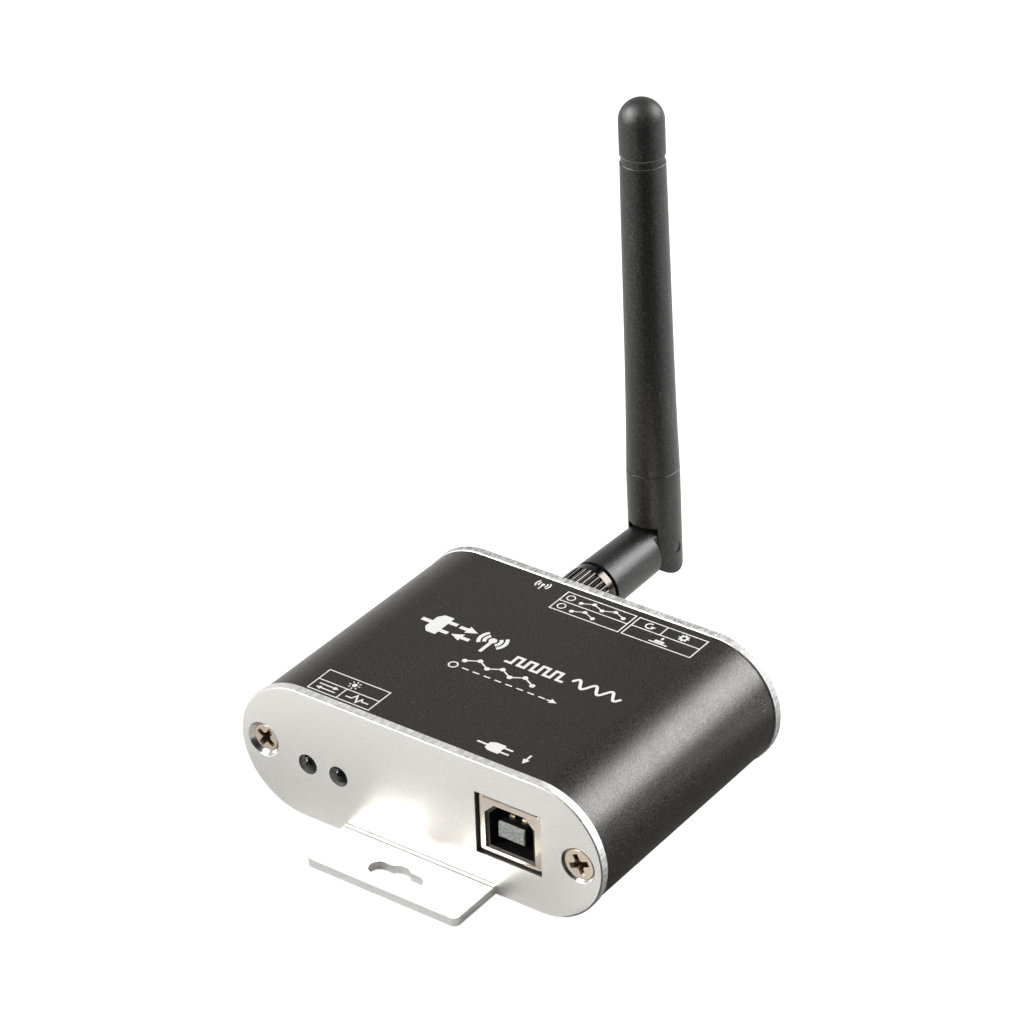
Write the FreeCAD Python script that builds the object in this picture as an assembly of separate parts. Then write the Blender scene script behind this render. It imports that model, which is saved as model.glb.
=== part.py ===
import FreeCAD, Part
import math
import os

# A wireless-to-wire bridge in a flat extruded case. A folded sheet plate closes each end.
# The front plate has the data socket, two lights and a mounting tab. The rear plate has
# two keys and the aerial, whose whip tilts and swivels on a threaded jack.
# Millimetres. +Z is up, +Y runs from the socket end to the aerial end, +X is to the right
# for someone who faces the socket. The origin is the centre of the front keyhole, at the
# underside of the tab that it is cut in.

# Case and end plates
plate_width = 72.8
plate_height = 24.9
sheet = 1.6
plate_proud = 0.25
plate_edge_round = 0.3
case_length = 49.4
case_wall = 1.6

# Folded mounting tabs and their keyholes
tab_width = 30.5
tab_reach = 10.7
tab_corner_round = 1.1
bend_inside_radius = 0.4
keyhole_to_tab_edge = 4.3
keyhole_circle = 5.0
keyhole_slot_width = 3.4
keyhole_slot_length = 10.4

# End screws, in bosses of the case
screw_inset = 4.6
screw_shank = 2.84
screw_length = 8.0
screw_hole_gap = 0.28
screw_sink = 6.5
screw_heads_sunk = (0.65, 0.3)
screw_rim_round = 0.12
screw_seat_gap = 0.03
boss_wall = 1.35
boss_chamfer = 0.5
cross_recess_length = 3.9
cross_recess_width = 1.0
cross_recess_depth = 1.4
cross_recess_floor_length = 0.9
cross_recess_floor_width = 0.5
cross_recess_middle = 1.9
cross_recess_turns = (35, -24)

# Circuit board, on ledges of the case
board_thickness = 1.6
board_top_z = 7.6
board_end_gap = 0.8
board_side_gap = 0.8
board_slot_gap = 0.1
ledge_overlap = 1.9
ledge_thickness = 1.2
hole_gap = 0.15

# Data socket
socket_x = 18.24
socket_width = 12.04
socket_height = 11.0
socket_depth = 16.0
socket_recess = 0.7
socket_cutout_gap = 0.43
socket_metal = 0.35
socket_fold_radius = 0.7
socket_mouth_width = 9.78
socket_mouth_shift = -0.14
socket_mouth_height = 8.7
socket_mouth_sill = 0.7
socket_mouth_chamfer = 1.85
socket_seam_drop = 0.42
socket_seam_width = 0.14
socket_seam_margin = 0.75
socket_relief_hole = 0.45
socket_peg_width = 2.2
socket_peg_drop = 3.2
socket_peg_setback = 7.5
insert_gap = 0.05
insert_cavity_width = 8.6
insert_cavity_height = 7.9
insert_cavity_depth = 9.0
insert_cavity_chamfer = 1.7
tongue_width = 5.0
tongue_shift = -0.28
tongue_height = 3.2
tongue_chamfer = 0.35
tongue_setback = 0.58
tongue_rise = 3.0
tongue_end_margin = 0.4
contact_pitch = 2.5
contact_width = 1.0
contact_thickness = 0.25
contact_setback = 2.0
contact_crest_height = 0.35
contact_crest_length = 1.6
contact_tail_drop = 3.0
contact_row_step = 1.4

# Lights
light_middle_x = -19.35
light_pitch = 6.4
light_height = 3.32
light_diameter = 3.0
light_hole_gap = 0.4
light_flange_rim = 0.4
light_flange_thickness = 1.0
light_proud = 0.55
light_length = 5.3
lead_size = 0.5
lead_pitch = 2.54
lead_run = 3.2
lead_drop = 3.0

# Keys and their switches
keys_middle_x = 16.62
key_height = 3.9
key_diameter = 3.4
key_hole_gap = 0.4
key_reach = 1.0
key_travel = 0.25
key_guide_gap = 0.1
key_end_gap = 0.1
key_edge_round = 0.3
key_flange_rim = 0.5
key_flange_thickness = 0.8
switch_width = 6.0
switch_depth = 3.6
switch_height = 7.2
switch_spacing = 0.2
switch_setback = 0.7
bracket_sheet = 0.3
bracket_leg_drop = 3.0
bracket_leg_width = 1.0
bracket_gap = 0.03

# Aerial jack
jack_x = -12.42
jack_thread = 6.3
jack_hole_gap = 0.15
jack_block_width = 8.0
jack_block_depth = 6.8
jack_block_rise = 4.0
jack_reach = 9.5
jack_counterbore = 4.64
jack_counterbore_depth = 2.0
jack_insulation = 4.1
jack_block_wall = 1.6
jack_tail_bore = 2.6
jack_socket_outer = 1.27
jack_socket_bore = 1.0
jack_socket_depth = 3.5
jack_leg = 1.0
jack_leg_spread = 5.4
jack_leg_drop = 2.8
washer_outer = 10.0
washer_thickness = 0.6
hex_across_flats = 8.0
hex_thickness = 2.0
hex_corner_cut = 0.55
nut_bore_gap = 0.1

# Coupling nut of the aerial
nut_start_gap = 1.4
nut_length = 12.0
nut_outer = 9.9
nut_collar_length = 2.0
nut_edge_chamfer = 0.45
nut_lip_length = 1.6
knurl_count = 30
knurl_depth = 0.25
knurl_groove_share = 0.45
ring_thickness = 0.7

# Plug inside the nut
plug_sleeve_gap = 0.03
plug_face_gap = 0.05
plug_collar_gap = 0.1
plug_neck = 4.9
plug_shank_length = 6.0
plug_insulation = 3.2
plug_pin = 0.9
plug_pin_reach = 2.4
ring_gap = 0.05

# Aerial base, hinge and whip
aerial_lean = -1.34
aerial_radius = 4.81
base_gap = 0.4
base_length = 13.7
base_foot_radius = 4.91
base_end_radius = 4.7
ear_radius = 4.95
hinge_end_gap = 0.15
hinge_side_gap = 0.1
hinge_tongue = 6.0
fork_height = 15.5
fork_edge_break = 0.2
hinge_pin = 2.0
hinge_pin_gap = 0.05
hinge_pin_seat_gap = 0.02
hinge_pin_recess = 0.22
hinge_pin_depth = 1.3
cable_channel = 2.5
cable_diameter = 2.0
cable_gap = 0.05
cable_bend_space = 2.2
spigot_radius = 3.3
spigot_length = 6.0
spigot_gap = 0.05
sheath_step = 0.03
sheath_waist_radius = 4.4
sheath_waist_rise = 18.4
sheath_middle_radius = 4.21
sheath_middle_rise = 38.0
sheath_top_radius = 4.01
sheath_top_break = 0.15
sheath_length = 59.35
sheath_bore_radius = 2.9
cap_groove = 1.25
cap_groove_depth = 0.22
cap_edge_bevel = 0.22
cap_straight = 6.25
cap_spigot_length = 5.5
sleeve_outer_radius = 2.4
sleeve_wall = 0.3
sleeve_foot_rise = 8.0
sleeve_length = 26.0
wire_radius = 0.6
wire_end_gap = 0.85

# Radio module and parts on the board
module_middle_x = -14.0
module_start = 12.0
module_width = 16.0
module_length = 25.0
module_thickness = 1.0
header_height = 2.5
header_width = 2.5
header_inset = 1.3
header_pin = 0.6
header_pin_pitch = 2.54
header_pin_count = 8
header_pin_over = 0.8
header_pin_under = 1.2
module_chip_height = 0.9
module_crystal_start = 3.0
module_crystal_width = 3.2
module_crystal_length = 2.5
module_crystal_height = 0.8
radio_chip_start = 7.5
radio_chip_size = 6.0
amplifier_chip_start = 17.0
amplifier_chip_size = 4.0
bridge_chip_x = 8.0
bridge_chip_start = 24.0
bridge_chip_width = 5.3
bridge_chip_length = 7.2
bridge_chip_height = 1.7
bridge_chip_lift = 0.1
bridge_lead_count = 10
bridge_lead_pitch = 0.65
bridge_lead_width = 0.3
bridge_lead_thickness = 0.15
bridge_lead_reach = 1.25
regulator_x = 20.5
regulator_start = 28.0
regulator_width = 6.5
regulator_length = 3.5
regulator_height = 1.6
capacitor_x = 22.5
capacitor_to_switch = 2.8
capacitor_diameter = 5.0
capacitor_height = 5.4
capacitor_foot_margin = 0.15
capacitor_foot_height = 1.0
clock_crystal_x = 8.0
clock_crystal_start = 36.0
clock_crystal_length = 5.0
clock_crystal_width = 3.2
clock_crystal_height = 1.0
chip_part_length = 1.6
chip_part_width = 0.8
chip_part_pitch = 2.0
chip_part_count = 5
resistor_row_x = -2.6
resistor_row_start = 14.0
resistor_height = 0.5
ceramic_row_x = 0.6
ceramic_row_start = 14.0
ceramic_height = 0.8

# Places that follow from the sizes
mid_z = plate_height / 2
front_y = tab_reach - keyhole_to_tab_edge
case_front_y = front_y + sheet
case_rear_y = case_front_y + case_length
rear_y = case_rear_y + sheet
tab_front_y = front_y - tab_reach
bend_top = sheet + bend_inside_radius
screw_x = plate_width / 2 - screw_inset
boss_bore = screw_shank / 2 + screw_seat_gap
case_inner_height = plate_height - 2 * plate_proud - 2 * case_wall
case_inner_width = plate_width - 2 * plate_proud - 2 * case_wall
end_centre_x = (plate_width - plate_height) / 2
board_bottom_z = board_top_z - board_thickness
board_front_y = case_front_y + board_end_gap
board_rear_y = case_rear_y - board_end_gap
socket_front_y = front_y + socket_recess
socket_rear_y = socket_front_y + socket_depth
mouth_z = board_top_z + socket_mouth_sill
mouth_x = socket_x + socket_mouth_shift
peg_y = socket_front_y + socket_peg_setback
tongue_front_y = socket_front_y + tongue_setback
tongue_rear_y = socket_rear_y - tongue_end_margin
tongue_z = board_top_z + tongue_rise
tongue_x = socket_x + tongue_shift
light_tip_y = front_y - light_proud
light_rear_y = light_tip_y + light_length
light_z = board_top_z + light_height
lead_bend_y = light_rear_y + lead_run
key_z = board_top_z + key_height
key_pitch = switch_width + 2 * (bracket_gap + bracket_sheet) + switch_spacing
key_seat_depth = key_end_gap + key_travel + key_flange_thickness + key_end_gap
switch_front_y = case_rear_y - switch_setback
key_seat_y = switch_front_y - key_seat_depth
bracket_leg_y = switch_front_y - (switch_depth + bracket_leg_width) / 2
jack_block_y = case_rear_y - jack_block_depth
jack_front_y = rear_y + jack_reach
jack_seat_y = jack_front_y - jack_counterbore_depth
jack_tail_y = jack_block_y + jack_block_wall + jack_insulation / 2
hex_start_y = rear_y + washer_thickness
hex_end_y = hex_start_y + hex_thickness
nut_front_y = hex_end_y + nut_start_gap
nut_rear_y = nut_front_y + nut_length
nut_bore = jack_thread / 2 + nut_bore_gap
nut_lip_y = nut_rear_y - nut_lip_length
ring_front_y = nut_lip_y - ring_thickness
plug_face_y = jack_front_y + plug_face_gap
cable_bore = cable_diameter / 2 + cable_gap
base_front_y = nut_rear_y + base_gap
base_rear_y = base_front_y + base_length
pivot_y = base_rear_y + ear_radius + hinge_end_gap
tongue_half = hinge_tongue / 2
pin_floor_x = tongue_half - hinge_pin_depth
slot_half = tongue_half + hinge_side_gap
slot_top = ear_radius + hinge_end_gap
sheath_foot = fork_height
sheath_top = sheath_foot + sheath_length
sheath_foot_radius = aerial_radius - sheath_step
cap_radius = sheath_top_radius
cable_top_z = mid_z + sheath_foot + sleeve_foot_rise + sleeve_length
module_front_y = case_front_y + module_start
module_bottom_z = board_top_z + header_height
module_top_z = module_bottom_z + module_thickness

os.makedirs("parts", exist_ok=True)


AXIS_X = FreeCAD.Vector(1, 0, 0)
AXIS_Y = FreeCAD.Vector(0, 1, 0)
AXIS_Z = FreeCAD.Vector(0, 0, 1)


def vec(x, y, z):
    return FreeCAD.Vector(x, y, z)


def box(x0, x1, y0, y1, z0, z1):
    """A block between two values on each axis, given in either order."""
    corner = vec(min(x0, x1), min(y0, y1), min(z0, z1))
    return Part.makeBox(abs(x1 - x0), abs(y1 - y0), abs(z1 - z0), corner)


def rod_x(y, z, radius, x0, x1):
    return Part.makeCylinder(radius, abs(x1 - x0), vec(min(x0, x1), y, z), AXIS_X)


def rod_y(x, z, radius, y0, y1):
    return Part.makeCylinder(radius, y1 - y0, vec(x, y0, z), AXIS_Y)


def rod_z(x, y, radius, z0, z1):
    return Part.makeCylinder(radius, z1 - z0, vec(x, y, z0), AXIS_Z)


def cone_y(x, z, radius0, radius1, y0, y1):
    return Part.makeCone(radius0, radius1, y1 - y0, vec(x, y0, z), AXIS_Y)


def fused(shapes):
    """Join shapes that overlap or touch into one solid."""
    return shapes[0].fuse(shapes[1:]).removeSplitter()


def cut(shape, tools):
    """Take the tools away from the shape."""
    return shape.cut(tools).removeSplitter()


def group(shapes):
    """Keep several separate solids together as one node."""
    return Part.makeCompound([solid for shape in shapes for solid in shape.Solids])


def save(name, shape):
    """Write one node and say what it holds."""
    solids = shape.Solids
    body = solids[0] if len(solids) == 1 else shape
    body.exportStep("parts/" + name + ".step")
    volume = round(sum(solid.Volume for solid in solids), 2)
    print(name, len(solids), "solid(s),", volume, "mm3, valid", body.isValid())


def line_edge(first, last):
    return Part.LineSegment(first, last).toShape()


def arc_edge(first, middle, last):
    return Part.Arc(first, middle, last).toShape()


def edges_at_y(shape, y):
    """The edges of a shape that lie in the plane at this y."""
    return [edge for edge in shape.Edges if all(abs(point.Y - y) < 0.001 for point in edge.Vertexes)]


def full_round_prism(width, height, y0, y1):
    """A prism along Y with a straight top and bottom and half-round ends."""
    radius = height / 2
    reach = width / 2 - radius
    low = mid_z - radius
    high = mid_z + radius
    wire = Part.Wire([
        line_edge(vec(-reach, y0, low), vec(reach, y0, low)),
        arc_edge(vec(reach, y0, low), vec(reach + radius, y0, mid_z), vec(reach, y0, high)),
        line_edge(vec(reach, y0, high), vec(-reach, y0, high)),
        arc_edge(vec(-reach, y0, high), vec(-reach - radius, y0, mid_z), vec(-reach, y0, low))])
    return Part.Face(wire).extrude(vec(0, y1 - y0, 0))


def chamfered_prism(width, height, chamfer, z0, y0, y1):
    """A prism along Y about the mouth's middle, with its two upper corners cut off."""
    left = mouth_x - width / 2
    right = mouth_x + width / 2
    top = z0 + height
    shoulder = top - chamfer
    points = [vec(left, y0, z0), vec(right, y0, z0), vec(right, y0, shoulder),
              vec(right - chamfer, y0, top), vec(left + chamfer, y0, top), vec(left, y0, shoulder)]
    wire = Part.makePolygon(points + points[:1])
    return Part.Face(wire).extrude(vec(0, y1 - y0, 0))


def inner_half_width(z):
    """Half the clear width of the case at height z, between its round sides."""
    radius = case_inner_height / 2
    return end_centre_x + math.sqrt(max(radius ** 2 - (z - mid_z) ** 2, 0))


board_half = inner_half_width(board_bottom_z) - board_side_gap


def lean(shape):
    """Turn an upright piece of the aerial about the jack's axis, to where it stands."""
    turned = shape.copy()
    turned.rotate(vec(jack_x, 0, mid_z), AXIS_Y, aerial_lean)
    return turned


def to_rear(shape):
    """Turn a piece of the front end about the case's middle, to the rear end."""
    turned = shape.copy()
    turned.rotate(vec(0, (front_y + rear_y) / 2, 0), AXIS_Z, 180)
    return turned


def keyhole_tool():
    """The double keyhole: a round hole with a slot to each side."""
    half = keyhole_slot_width / 2
    slot_end = keyhole_slot_length / 2 - half
    top = sheet + 1
    return fused([rod_z(0, 0, keyhole_circle / 2, -1, top),
                  box(-slot_end, slot_end, -half, half, -1, top),
                  rod_z(-slot_end, 0, half, -1, top),
                  rod_z(slot_end, 0, half, -1, top)])


def folded_tab():
    """The tab and its bend, from its front edge to where it runs up into the plate."""
    half = tab_width / 2
    bend_y = front_y - bend_inside_radius
    diagonal = math.sqrt(0.5)
    bend_outer = vec(-half, bend_y + bend_top * diagonal, bend_top * (1 - diagonal))
    bend_inner = vec(-half, bend_y + bend_inside_radius * diagonal,
                     bend_top - bend_inside_radius * diagonal)
    profile = Part.Wire([
        line_edge(vec(-half, tab_front_y, 0), vec(-half, bend_y, 0)),
        arc_edge(vec(-half, bend_y, 0), bend_outer, vec(-half, case_front_y, bend_top)),
        line_edge(vec(-half, case_front_y, bend_top), vec(-half, front_y, bend_top)),
        arc_edge(vec(-half, front_y, bend_top), bend_inner, vec(-half, bend_y, sheet)),
        line_edge(vec(-half, bend_y, sheet), vec(-half, tab_front_y, sheet)),
        line_edge(vec(-half, tab_front_y, sheet), vec(-half, tab_front_y, 0))])
    tab = Part.Face(profile).extrude(vec(tab_width, 0, 0))
    corners = [edge for edge in edges_at_y(tab, tab_front_y) if edge.BoundBox.XLength < 0.001]
    return tab.makeFillet(tab_corner_round, corners)


def screw_places():
    return (-screw_x, screw_x)


def end_plate_blank():
    """The folded plate of the front end, with its tab, keyhole and screw holes."""
    disc = full_round_prism(plate_width, plate_height, front_y, case_front_y)
    disc = disc.makeFillet(plate_edge_round, edges_at_y(disc, front_y))
    half = tab_width / 2
    disc = disc.cut(box(-half, half, front_y - 1, case_front_y + 1, -1, bend_top))
    plate = fused([disc, folded_tab()])
    hole = screw_shank / 2 + screw_hole_gap
    tools = [keyhole_tool()]
    for x in screw_places():
        tools.append(rod_y(x, mid_z, hole, front_y - 1, case_front_y + 1))
        tools.append(cone_y(x, mid_z, screw_sink / 2, hole, front_y, front_y + screw_sink / 2 - hole))
    return cut(plate, tools)


def front_plate():
    gap = socket_cutout_gap
    half = socket_width / 2 + gap
    tools = [box(socket_x - half, socket_x + half, front_y - 1, case_front_y + 1,
                 board_top_z - gap, board_top_z + socket_height + gap)]
    for x in light_places():
        tools.append(rod_y(x, light_z, light_diameter / 2 + light_hole_gap, front_y - 1, case_front_y + 1))
    return cut(end_plate_blank(), tools)


def rear_plate():
    tools = [rod_y(jack_x, mid_z, jack_thread / 2 + jack_hole_gap, case_rear_y - 1, rear_y + 1)]
    for x in key_places():
        tools.append(rod_y(x, key_z, key_diameter / 2 + key_hole_gap, case_rear_y - 1, rear_y + 1))
    return cut(to_rear(end_plate_blank()), tools)


def recess_arm(x, head_y, along_x):
    """One bar of the cross recess: long and wide at the head's face, short and narrow below."""
    outlines = []
    for y, length, width in ((head_y - 0.01, cross_recess_length, cross_recess_width),
                             (head_y + cross_recess_depth, cross_recess_floor_length,
                              cross_recess_floor_width)):
        across, up = (length / 2, width / 2) if along_x else (width / 2, length / 2)
        points = [vec(x - across, y, mid_z - up), vec(x + across, y, mid_z - up),
                  vec(x + across, y, mid_z + up), vec(x - across, y, mid_z + up)]
        outlines.append(Part.makePolygon(points + points[:1]))
    return Part.makeLoft(outlines, True, True)


def end_screw(x, sunk, turn):
    """A flat-head screw with a cross recess, sunk in the front plate."""
    head_y = front_y + sunk
    head = screw_sink / 2 - sunk - screw_seat_gap
    shank = screw_shank / 2
    screw = fused([cone_y(x, mid_z, head, shank, head_y, head_y + head - shank),
                   rod_y(x, mid_z, shank, head_y, front_y + screw_length)])
    screw = screw.makeFillet(screw_rim_round, edges_at_y(screw, head_y))
    recess = fused([recess_arm(x, head_y, True), recess_arm(x, head_y, False),
                    cone_y(x, mid_z, cross_recess_middle / 2, cross_recess_floor_width / 2,
                           head_y - 0.01, head_y + cross_recess_depth)])
    recess.rotate(vec(x, 0, mid_z), AXIS_Y, turn)
    return cut(screw, [recess])


def end_screws():
    return [end_screw(x, sunk, turn)
            for x, sunk, turn in zip(screw_places(), screw_heads_sunk, cross_recess_turns)]


def case_ledges(outer):
    """Two ledges on each side that hold the board's edges between them."""
    near = board_half - ledge_overlap
    ledges = []
    for z0 in (board_bottom_z - board_slot_gap - ledge_thickness, board_top_z + board_slot_gap):
        z1 = z0 + ledge_thickness
        far = inner_half_width(z1) + case_wall / 2
        for side in (-1, 1):
            ledges.append(box(side * near, side * far, case_front_y, case_rear_y, z0, z1).common(outer))
    return ledges


def case_tube():
    """The extruded case: one tube with a screw boss and a board slot in each side."""
    outer = full_round_prism(plate_width - 2 * plate_proud, plate_height - 2 * plate_proud,
                             case_front_y, case_rear_y)
    inner = full_round_prism(case_inner_width, case_inner_height, case_front_y - 1, case_rear_y + 1)
    boss = boss_bore + boss_wall
    web_half = boss / 2
    wall_x = case_inner_width / 2 + case_wall / 2
    pieces = [outer.cut(inner)] + case_ledges(outer)
    for x in screw_places():
        pieces.append(rod_y(x, mid_z, boss, case_front_y, case_rear_y))
        pieces.append(box(x, math.copysign(wall_x, x), case_front_y, case_rear_y,
                          mid_z - web_half, mid_z + web_half))
    mouth = boss_bore + boss_chamfer
    tools = []
    for x in screw_places():
        tools.append(rod_y(x, mid_z, boss_bore, case_front_y - 1, case_rear_y + 1))
        tools.append(cone_y(x, mid_z, mouth, boss_bore, case_front_y, case_front_y + boss_chamfer))
        tools.append(cone_y(x, mid_z, boss_bore, mouth, case_rear_y - boss_chamfer, case_rear_y))
    return cut(fused(pieces), tools)


def light_places():
    return (light_middle_x - light_pitch / 2, light_middle_x + light_pitch / 2)


def light_lens(x):
    """A domed light whose tip stands a little proud of the front plate."""
    radius = light_diameter / 2
    return fused([
        Part.makeSphere(radius, vec(x, light_tip_y + radius, light_z)),
        rod_y(x, light_z, radius, light_tip_y + radius, light_rear_y),
        rod_y(x, light_z, radius + light_flange_rim, light_rear_y - light_flange_thickness, light_rear_y)])


def lead_places():
    return [x + side * lead_pitch / 2 for x in light_places() for side in (-1, 1)]


def light_leads():
    """Two square leads behind each light, bent down through the board."""
    half = lead_size / 2
    top = light_z + half
    leads = []
    for x in lead_places():
        leads.append(fused([
            box(x - half, x + half, light_rear_y, lead_bend_y + half, light_z - half, top),
            box(x - half, x + half, lead_bend_y - half, lead_bend_y + half, board_top_z - lead_drop, top)]))
    return leads


def socket_pegs():
    """The inner and outer x of the peg in each side wall of the socket."""
    half = socket_width / 2
    return [(socket_x + side * (half - socket_metal), socket_x + side * half) for side in (-1, 1)]


def socket_shell():
    """The socket's folded metal shell, with a peg through the board on each side."""
    half = socket_width / 2
    metal = socket_metal
    top = board_top_z + socket_height
    outside = box(socket_x - half, socket_x + half, socket_front_y, socket_rear_y, board_top_z, top)
    folds = [edge for edge in outside.Edges if edge.BoundBox.YLength > socket_depth / 2]
    outside = outside.makeFillet(socket_fold_radius, folds)
    hollow = box(socket_x - half + metal, socket_x + half - metal, socket_front_y + metal,
                 socket_rear_y + 1, board_top_z + metal, top - metal)
    mouth = chamfered_prism(socket_mouth_width, socket_mouth_height, socket_mouth_chamfer,
                            mouth_z, socket_front_y - 1, socket_front_y + metal + 1)
    tail_slot = box(socket_x - half + metal, socket_x + half - metal, tongue_rear_y - insert_gap,
                    socket_rear_y + 1, board_top_z - 1, board_top_z + 2 * metal)
    seam_top = top - socket_seam_drop
    seam = box(socket_x - half + socket_seam_margin, socket_x + half - socket_seam_margin,
               socket_front_y - 1, socket_front_y + metal / 2, seam_top - socket_seam_width, seam_top)
    relief = rod_y(socket_x + half - socket_seam_margin, seam_top - socket_seam_width / 2,
                   socket_relief_hole / 2, socket_front_y - 1, socket_front_y + metal / 2)
    pieces = [cut(outside, [hollow, mouth, tail_slot, seam, relief])]
    for inner, outer in socket_pegs():
        pieces.append(box(inner, outer, peg_y, peg_y + socket_peg_width,
                          board_top_z - socket_peg_drop, board_top_z + socket_height / 2))
    return fused(pieces)


def contact_tongue():
    """The pale block that carries the contacts, chamfered above and below its front."""
    half = tongue_width / 2
    block = box(tongue_x - half, tongue_x + half, tongue_front_y, tongue_rear_y, tongue_z,
                tongue_z + tongue_height)
    level = [edge for edge in edges_at_y(block, tongue_front_y) if edge.BoundBox.ZLength < 0.001]
    return block.makeChamfer(tongue_chamfer, level)


def contact_rows():
    """For the upper and the lower row: face height, way out of the tongue, y of the tails."""
    return ((tongue_z + tongue_height, 1, tongue_rear_y + contact_row_step),
            (tongue_z, -1, tongue_rear_y))


def contact_places():
    return (tongue_x - contact_pitch / 2, tongue_x + contact_pitch / 2)


def socket_contacts():
    """Four flat contacts, each with a raised crest in front and a tail through the board."""
    half = contact_width / 2
    start = tongue_front_y + contact_setback
    middle = start + contact_crest_length / 2
    end = start + contact_crest_length
    bars = []
    for face_z, way, tail_y in contact_rows():
        outer_z = face_z + way * contact_thickness
        crest_z = outer_z + way * contact_crest_height
        tail_end = tail_y + contact_thickness
        for x in contact_places():
            left = x - half
            crest = Part.Wire([line_edge(vec(left, start, outer_z), vec(left, end, outer_z)),
                               arc_edge(vec(left, end, outer_z), vec(left, middle, crest_z),
                                        vec(left, start, outer_z))])
            bars.append(fused([
                box(left, x + half, start, tail_end, face_z, outer_z),
                box(left, x + half, tail_y, tail_end, board_top_z - contact_tail_drop,
                    max(face_z, outer_z)),
                Part.Face(crest).extrude(vec(contact_width, 0, 0))]))
    return bars


def socket_insert():
    """The dark lining of the socket, with a cavity in front and a slot for the tongue."""
    gap = insert_gap
    skin = socket_metal + gap
    half = socket_width / 2 - skin
    front = socket_front_y + skin
    rear = tongue_rear_y - gap
    block = box(socket_x - half, socket_x + half, front, rear, board_top_z + skin,
                board_top_z + socket_height - skin)
    cavity_z = mouth_z + (socket_mouth_height - insert_cavity_height) / 2
    cavity = chamfered_prism(insert_cavity_width, insert_cavity_height, insert_cavity_chamfer,
                             cavity_z, front - 1, front + insert_cavity_depth)
    reach = tongue_width / 2 + gap
    rise = contact_thickness + gap
    slot = box(tongue_x - reach, tongue_x + reach, front, rear + 1, tongue_z - rise,
               tongue_z + tongue_height + rise)
    return cut(block, [cavity, slot])


def key_places():
    return (keys_middle_x - key_pitch / 2, keys_middle_x + key_pitch / 2)


def switch_body(x):
    """The dark body of a key's switch, with a round seat for the key's flange."""
    half = switch_width / 2
    seat = key_diameter / 2 + key_flange_rim + key_guide_gap
    body = box(x - half, x + half, switch_front_y - switch_depth, switch_front_y,
               board_top_z, board_top_z + switch_height)
    return cut(body, [rod_y(x, key_z, seat, key_seat_y, switch_front_y + 1)])


def bracket_legs(x):
    """The inner and outer x of the two legs of the switch's steel cover."""
    inner = switch_width / 2 + bracket_gap
    return [(x + side * inner, x + side * (inner + bracket_sheet)) for side in (-1, 1)]


def switch_cover(x):
    """A folded steel cover over the switch, with a leg through the board on each side."""
    half = switch_width / 2 + bracket_gap + bracket_sheet
    inner_y = switch_front_y + bracket_gap
    outer_y = inner_y + bracket_sheet
    rear = switch_front_y - switch_depth
    inner_z = board_top_z + switch_height + bracket_gap
    outer_z = inner_z + bracket_sheet
    pieces = [box(x - half, x + half, inner_y, outer_y, board_top_z, outer_z),
              box(x - half, x + half, rear, outer_y, inner_z, outer_z)]
    for inner_x, outer_x in bracket_legs(x):
        pieces.append(box(inner_x, outer_x, rear, outer_y, board_top_z, outer_z))
        pieces.append(box(inner_x, outer_x, bracket_leg_y, bracket_leg_y + bracket_leg_width,
                          board_top_z - bracket_leg_drop, inner_z))
    hole = rod_y(x, key_z, key_diameter / 2 + key_guide_gap, inner_y - 1, outer_y + 1)
    return cut(fused(pieces), [hole])


def key_button(x):
    """The round key, with a flange that the switch's cover keeps in."""
    tip = rear_y + key_reach
    start = key_seat_y + key_end_gap + key_travel
    stem = rod_y(x, key_z, key_diameter / 2, start, tip)
    stem = stem.makeFillet(key_edge_round, edges_at_y(stem, tip))
    flange = rod_y(x, key_z, key_diameter / 2 + key_flange_rim, start, start + key_flange_thickness)
    return fused([stem, flange])


def jack_legs():
    """The centres of the four legs under the jack's block."""
    half = jack_leg_spread / 2
    middle = case_rear_y - jack_block_depth / 2
    return [(jack_x + across * half, middle + along * half) for across in (-1, 1) for along in (-1, 1)]


def aerial_jack():
    """The threaded jack: a block on the board and a barrel through the rear plate."""
    half = jack_block_width / 2
    block = box(jack_x - half, jack_x + half, jack_block_y, case_rear_y, board_top_z,
                mid_z + jack_block_rise)
    barrel = rod_y(jack_x, mid_z, jack_thread / 2, case_rear_y - 1, jack_front_y)
    legs = [rod_z(x, y, jack_leg / 2, board_top_z - jack_leg_drop, board_top_z + 1)
            for x, y in jack_legs()]
    bore = jack_insulation / 2
    tools = [rod_y(jack_x, mid_z, bore, jack_tail_y - bore, jack_seat_y + 1),
             rod_y(jack_x, mid_z, jack_counterbore / 2, jack_seat_y, jack_front_y + 1),
             rod_z(jack_x, jack_tail_y, jack_tail_bore / 2, board_top_z - 1, mid_z)]
    return cut(fused([block, barrel] + legs), tools)


def jack_insulator():
    """The white lining between the jack and its contact."""
    outer = jack_insulation / 2
    ring = rod_y(jack_x, mid_z, outer - insert_gap, jack_tail_y + outer, jack_seat_y)
    bore = rod_y(jack_x, mid_z, jack_socket_outer / 2 + insert_gap, jack_tail_y, jack_seat_y + 1)
    return cut(ring, [bore])


def jack_contact():
    """The jack's hollow contact, turned down at its end to go through the board."""
    radius = jack_socket_outer / 2
    whole = fused([rod_y(jack_x, mid_z, radius, jack_tail_y, jack_seat_y),
                   Part.makeSphere(radius, vec(jack_x, jack_tail_y, mid_z)),
                   rod_z(jack_x, jack_tail_y, radius, board_top_z - jack_leg_drop, mid_z)])
    bore = rod_y(jack_x, mid_z, jack_socket_bore / 2, jack_seat_y - jack_socket_depth, jack_seat_y + 1)
    return cut(whole, [bore])


def lock_washer():
    ring = rod_y(jack_x, mid_z, washer_outer / 2, rear_y, hex_start_y)
    return cut(ring, [rod_y(jack_x, mid_z, jack_thread / 2 + nut_bore_gap, rear_y - 1, hex_start_y + 1)])


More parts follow.
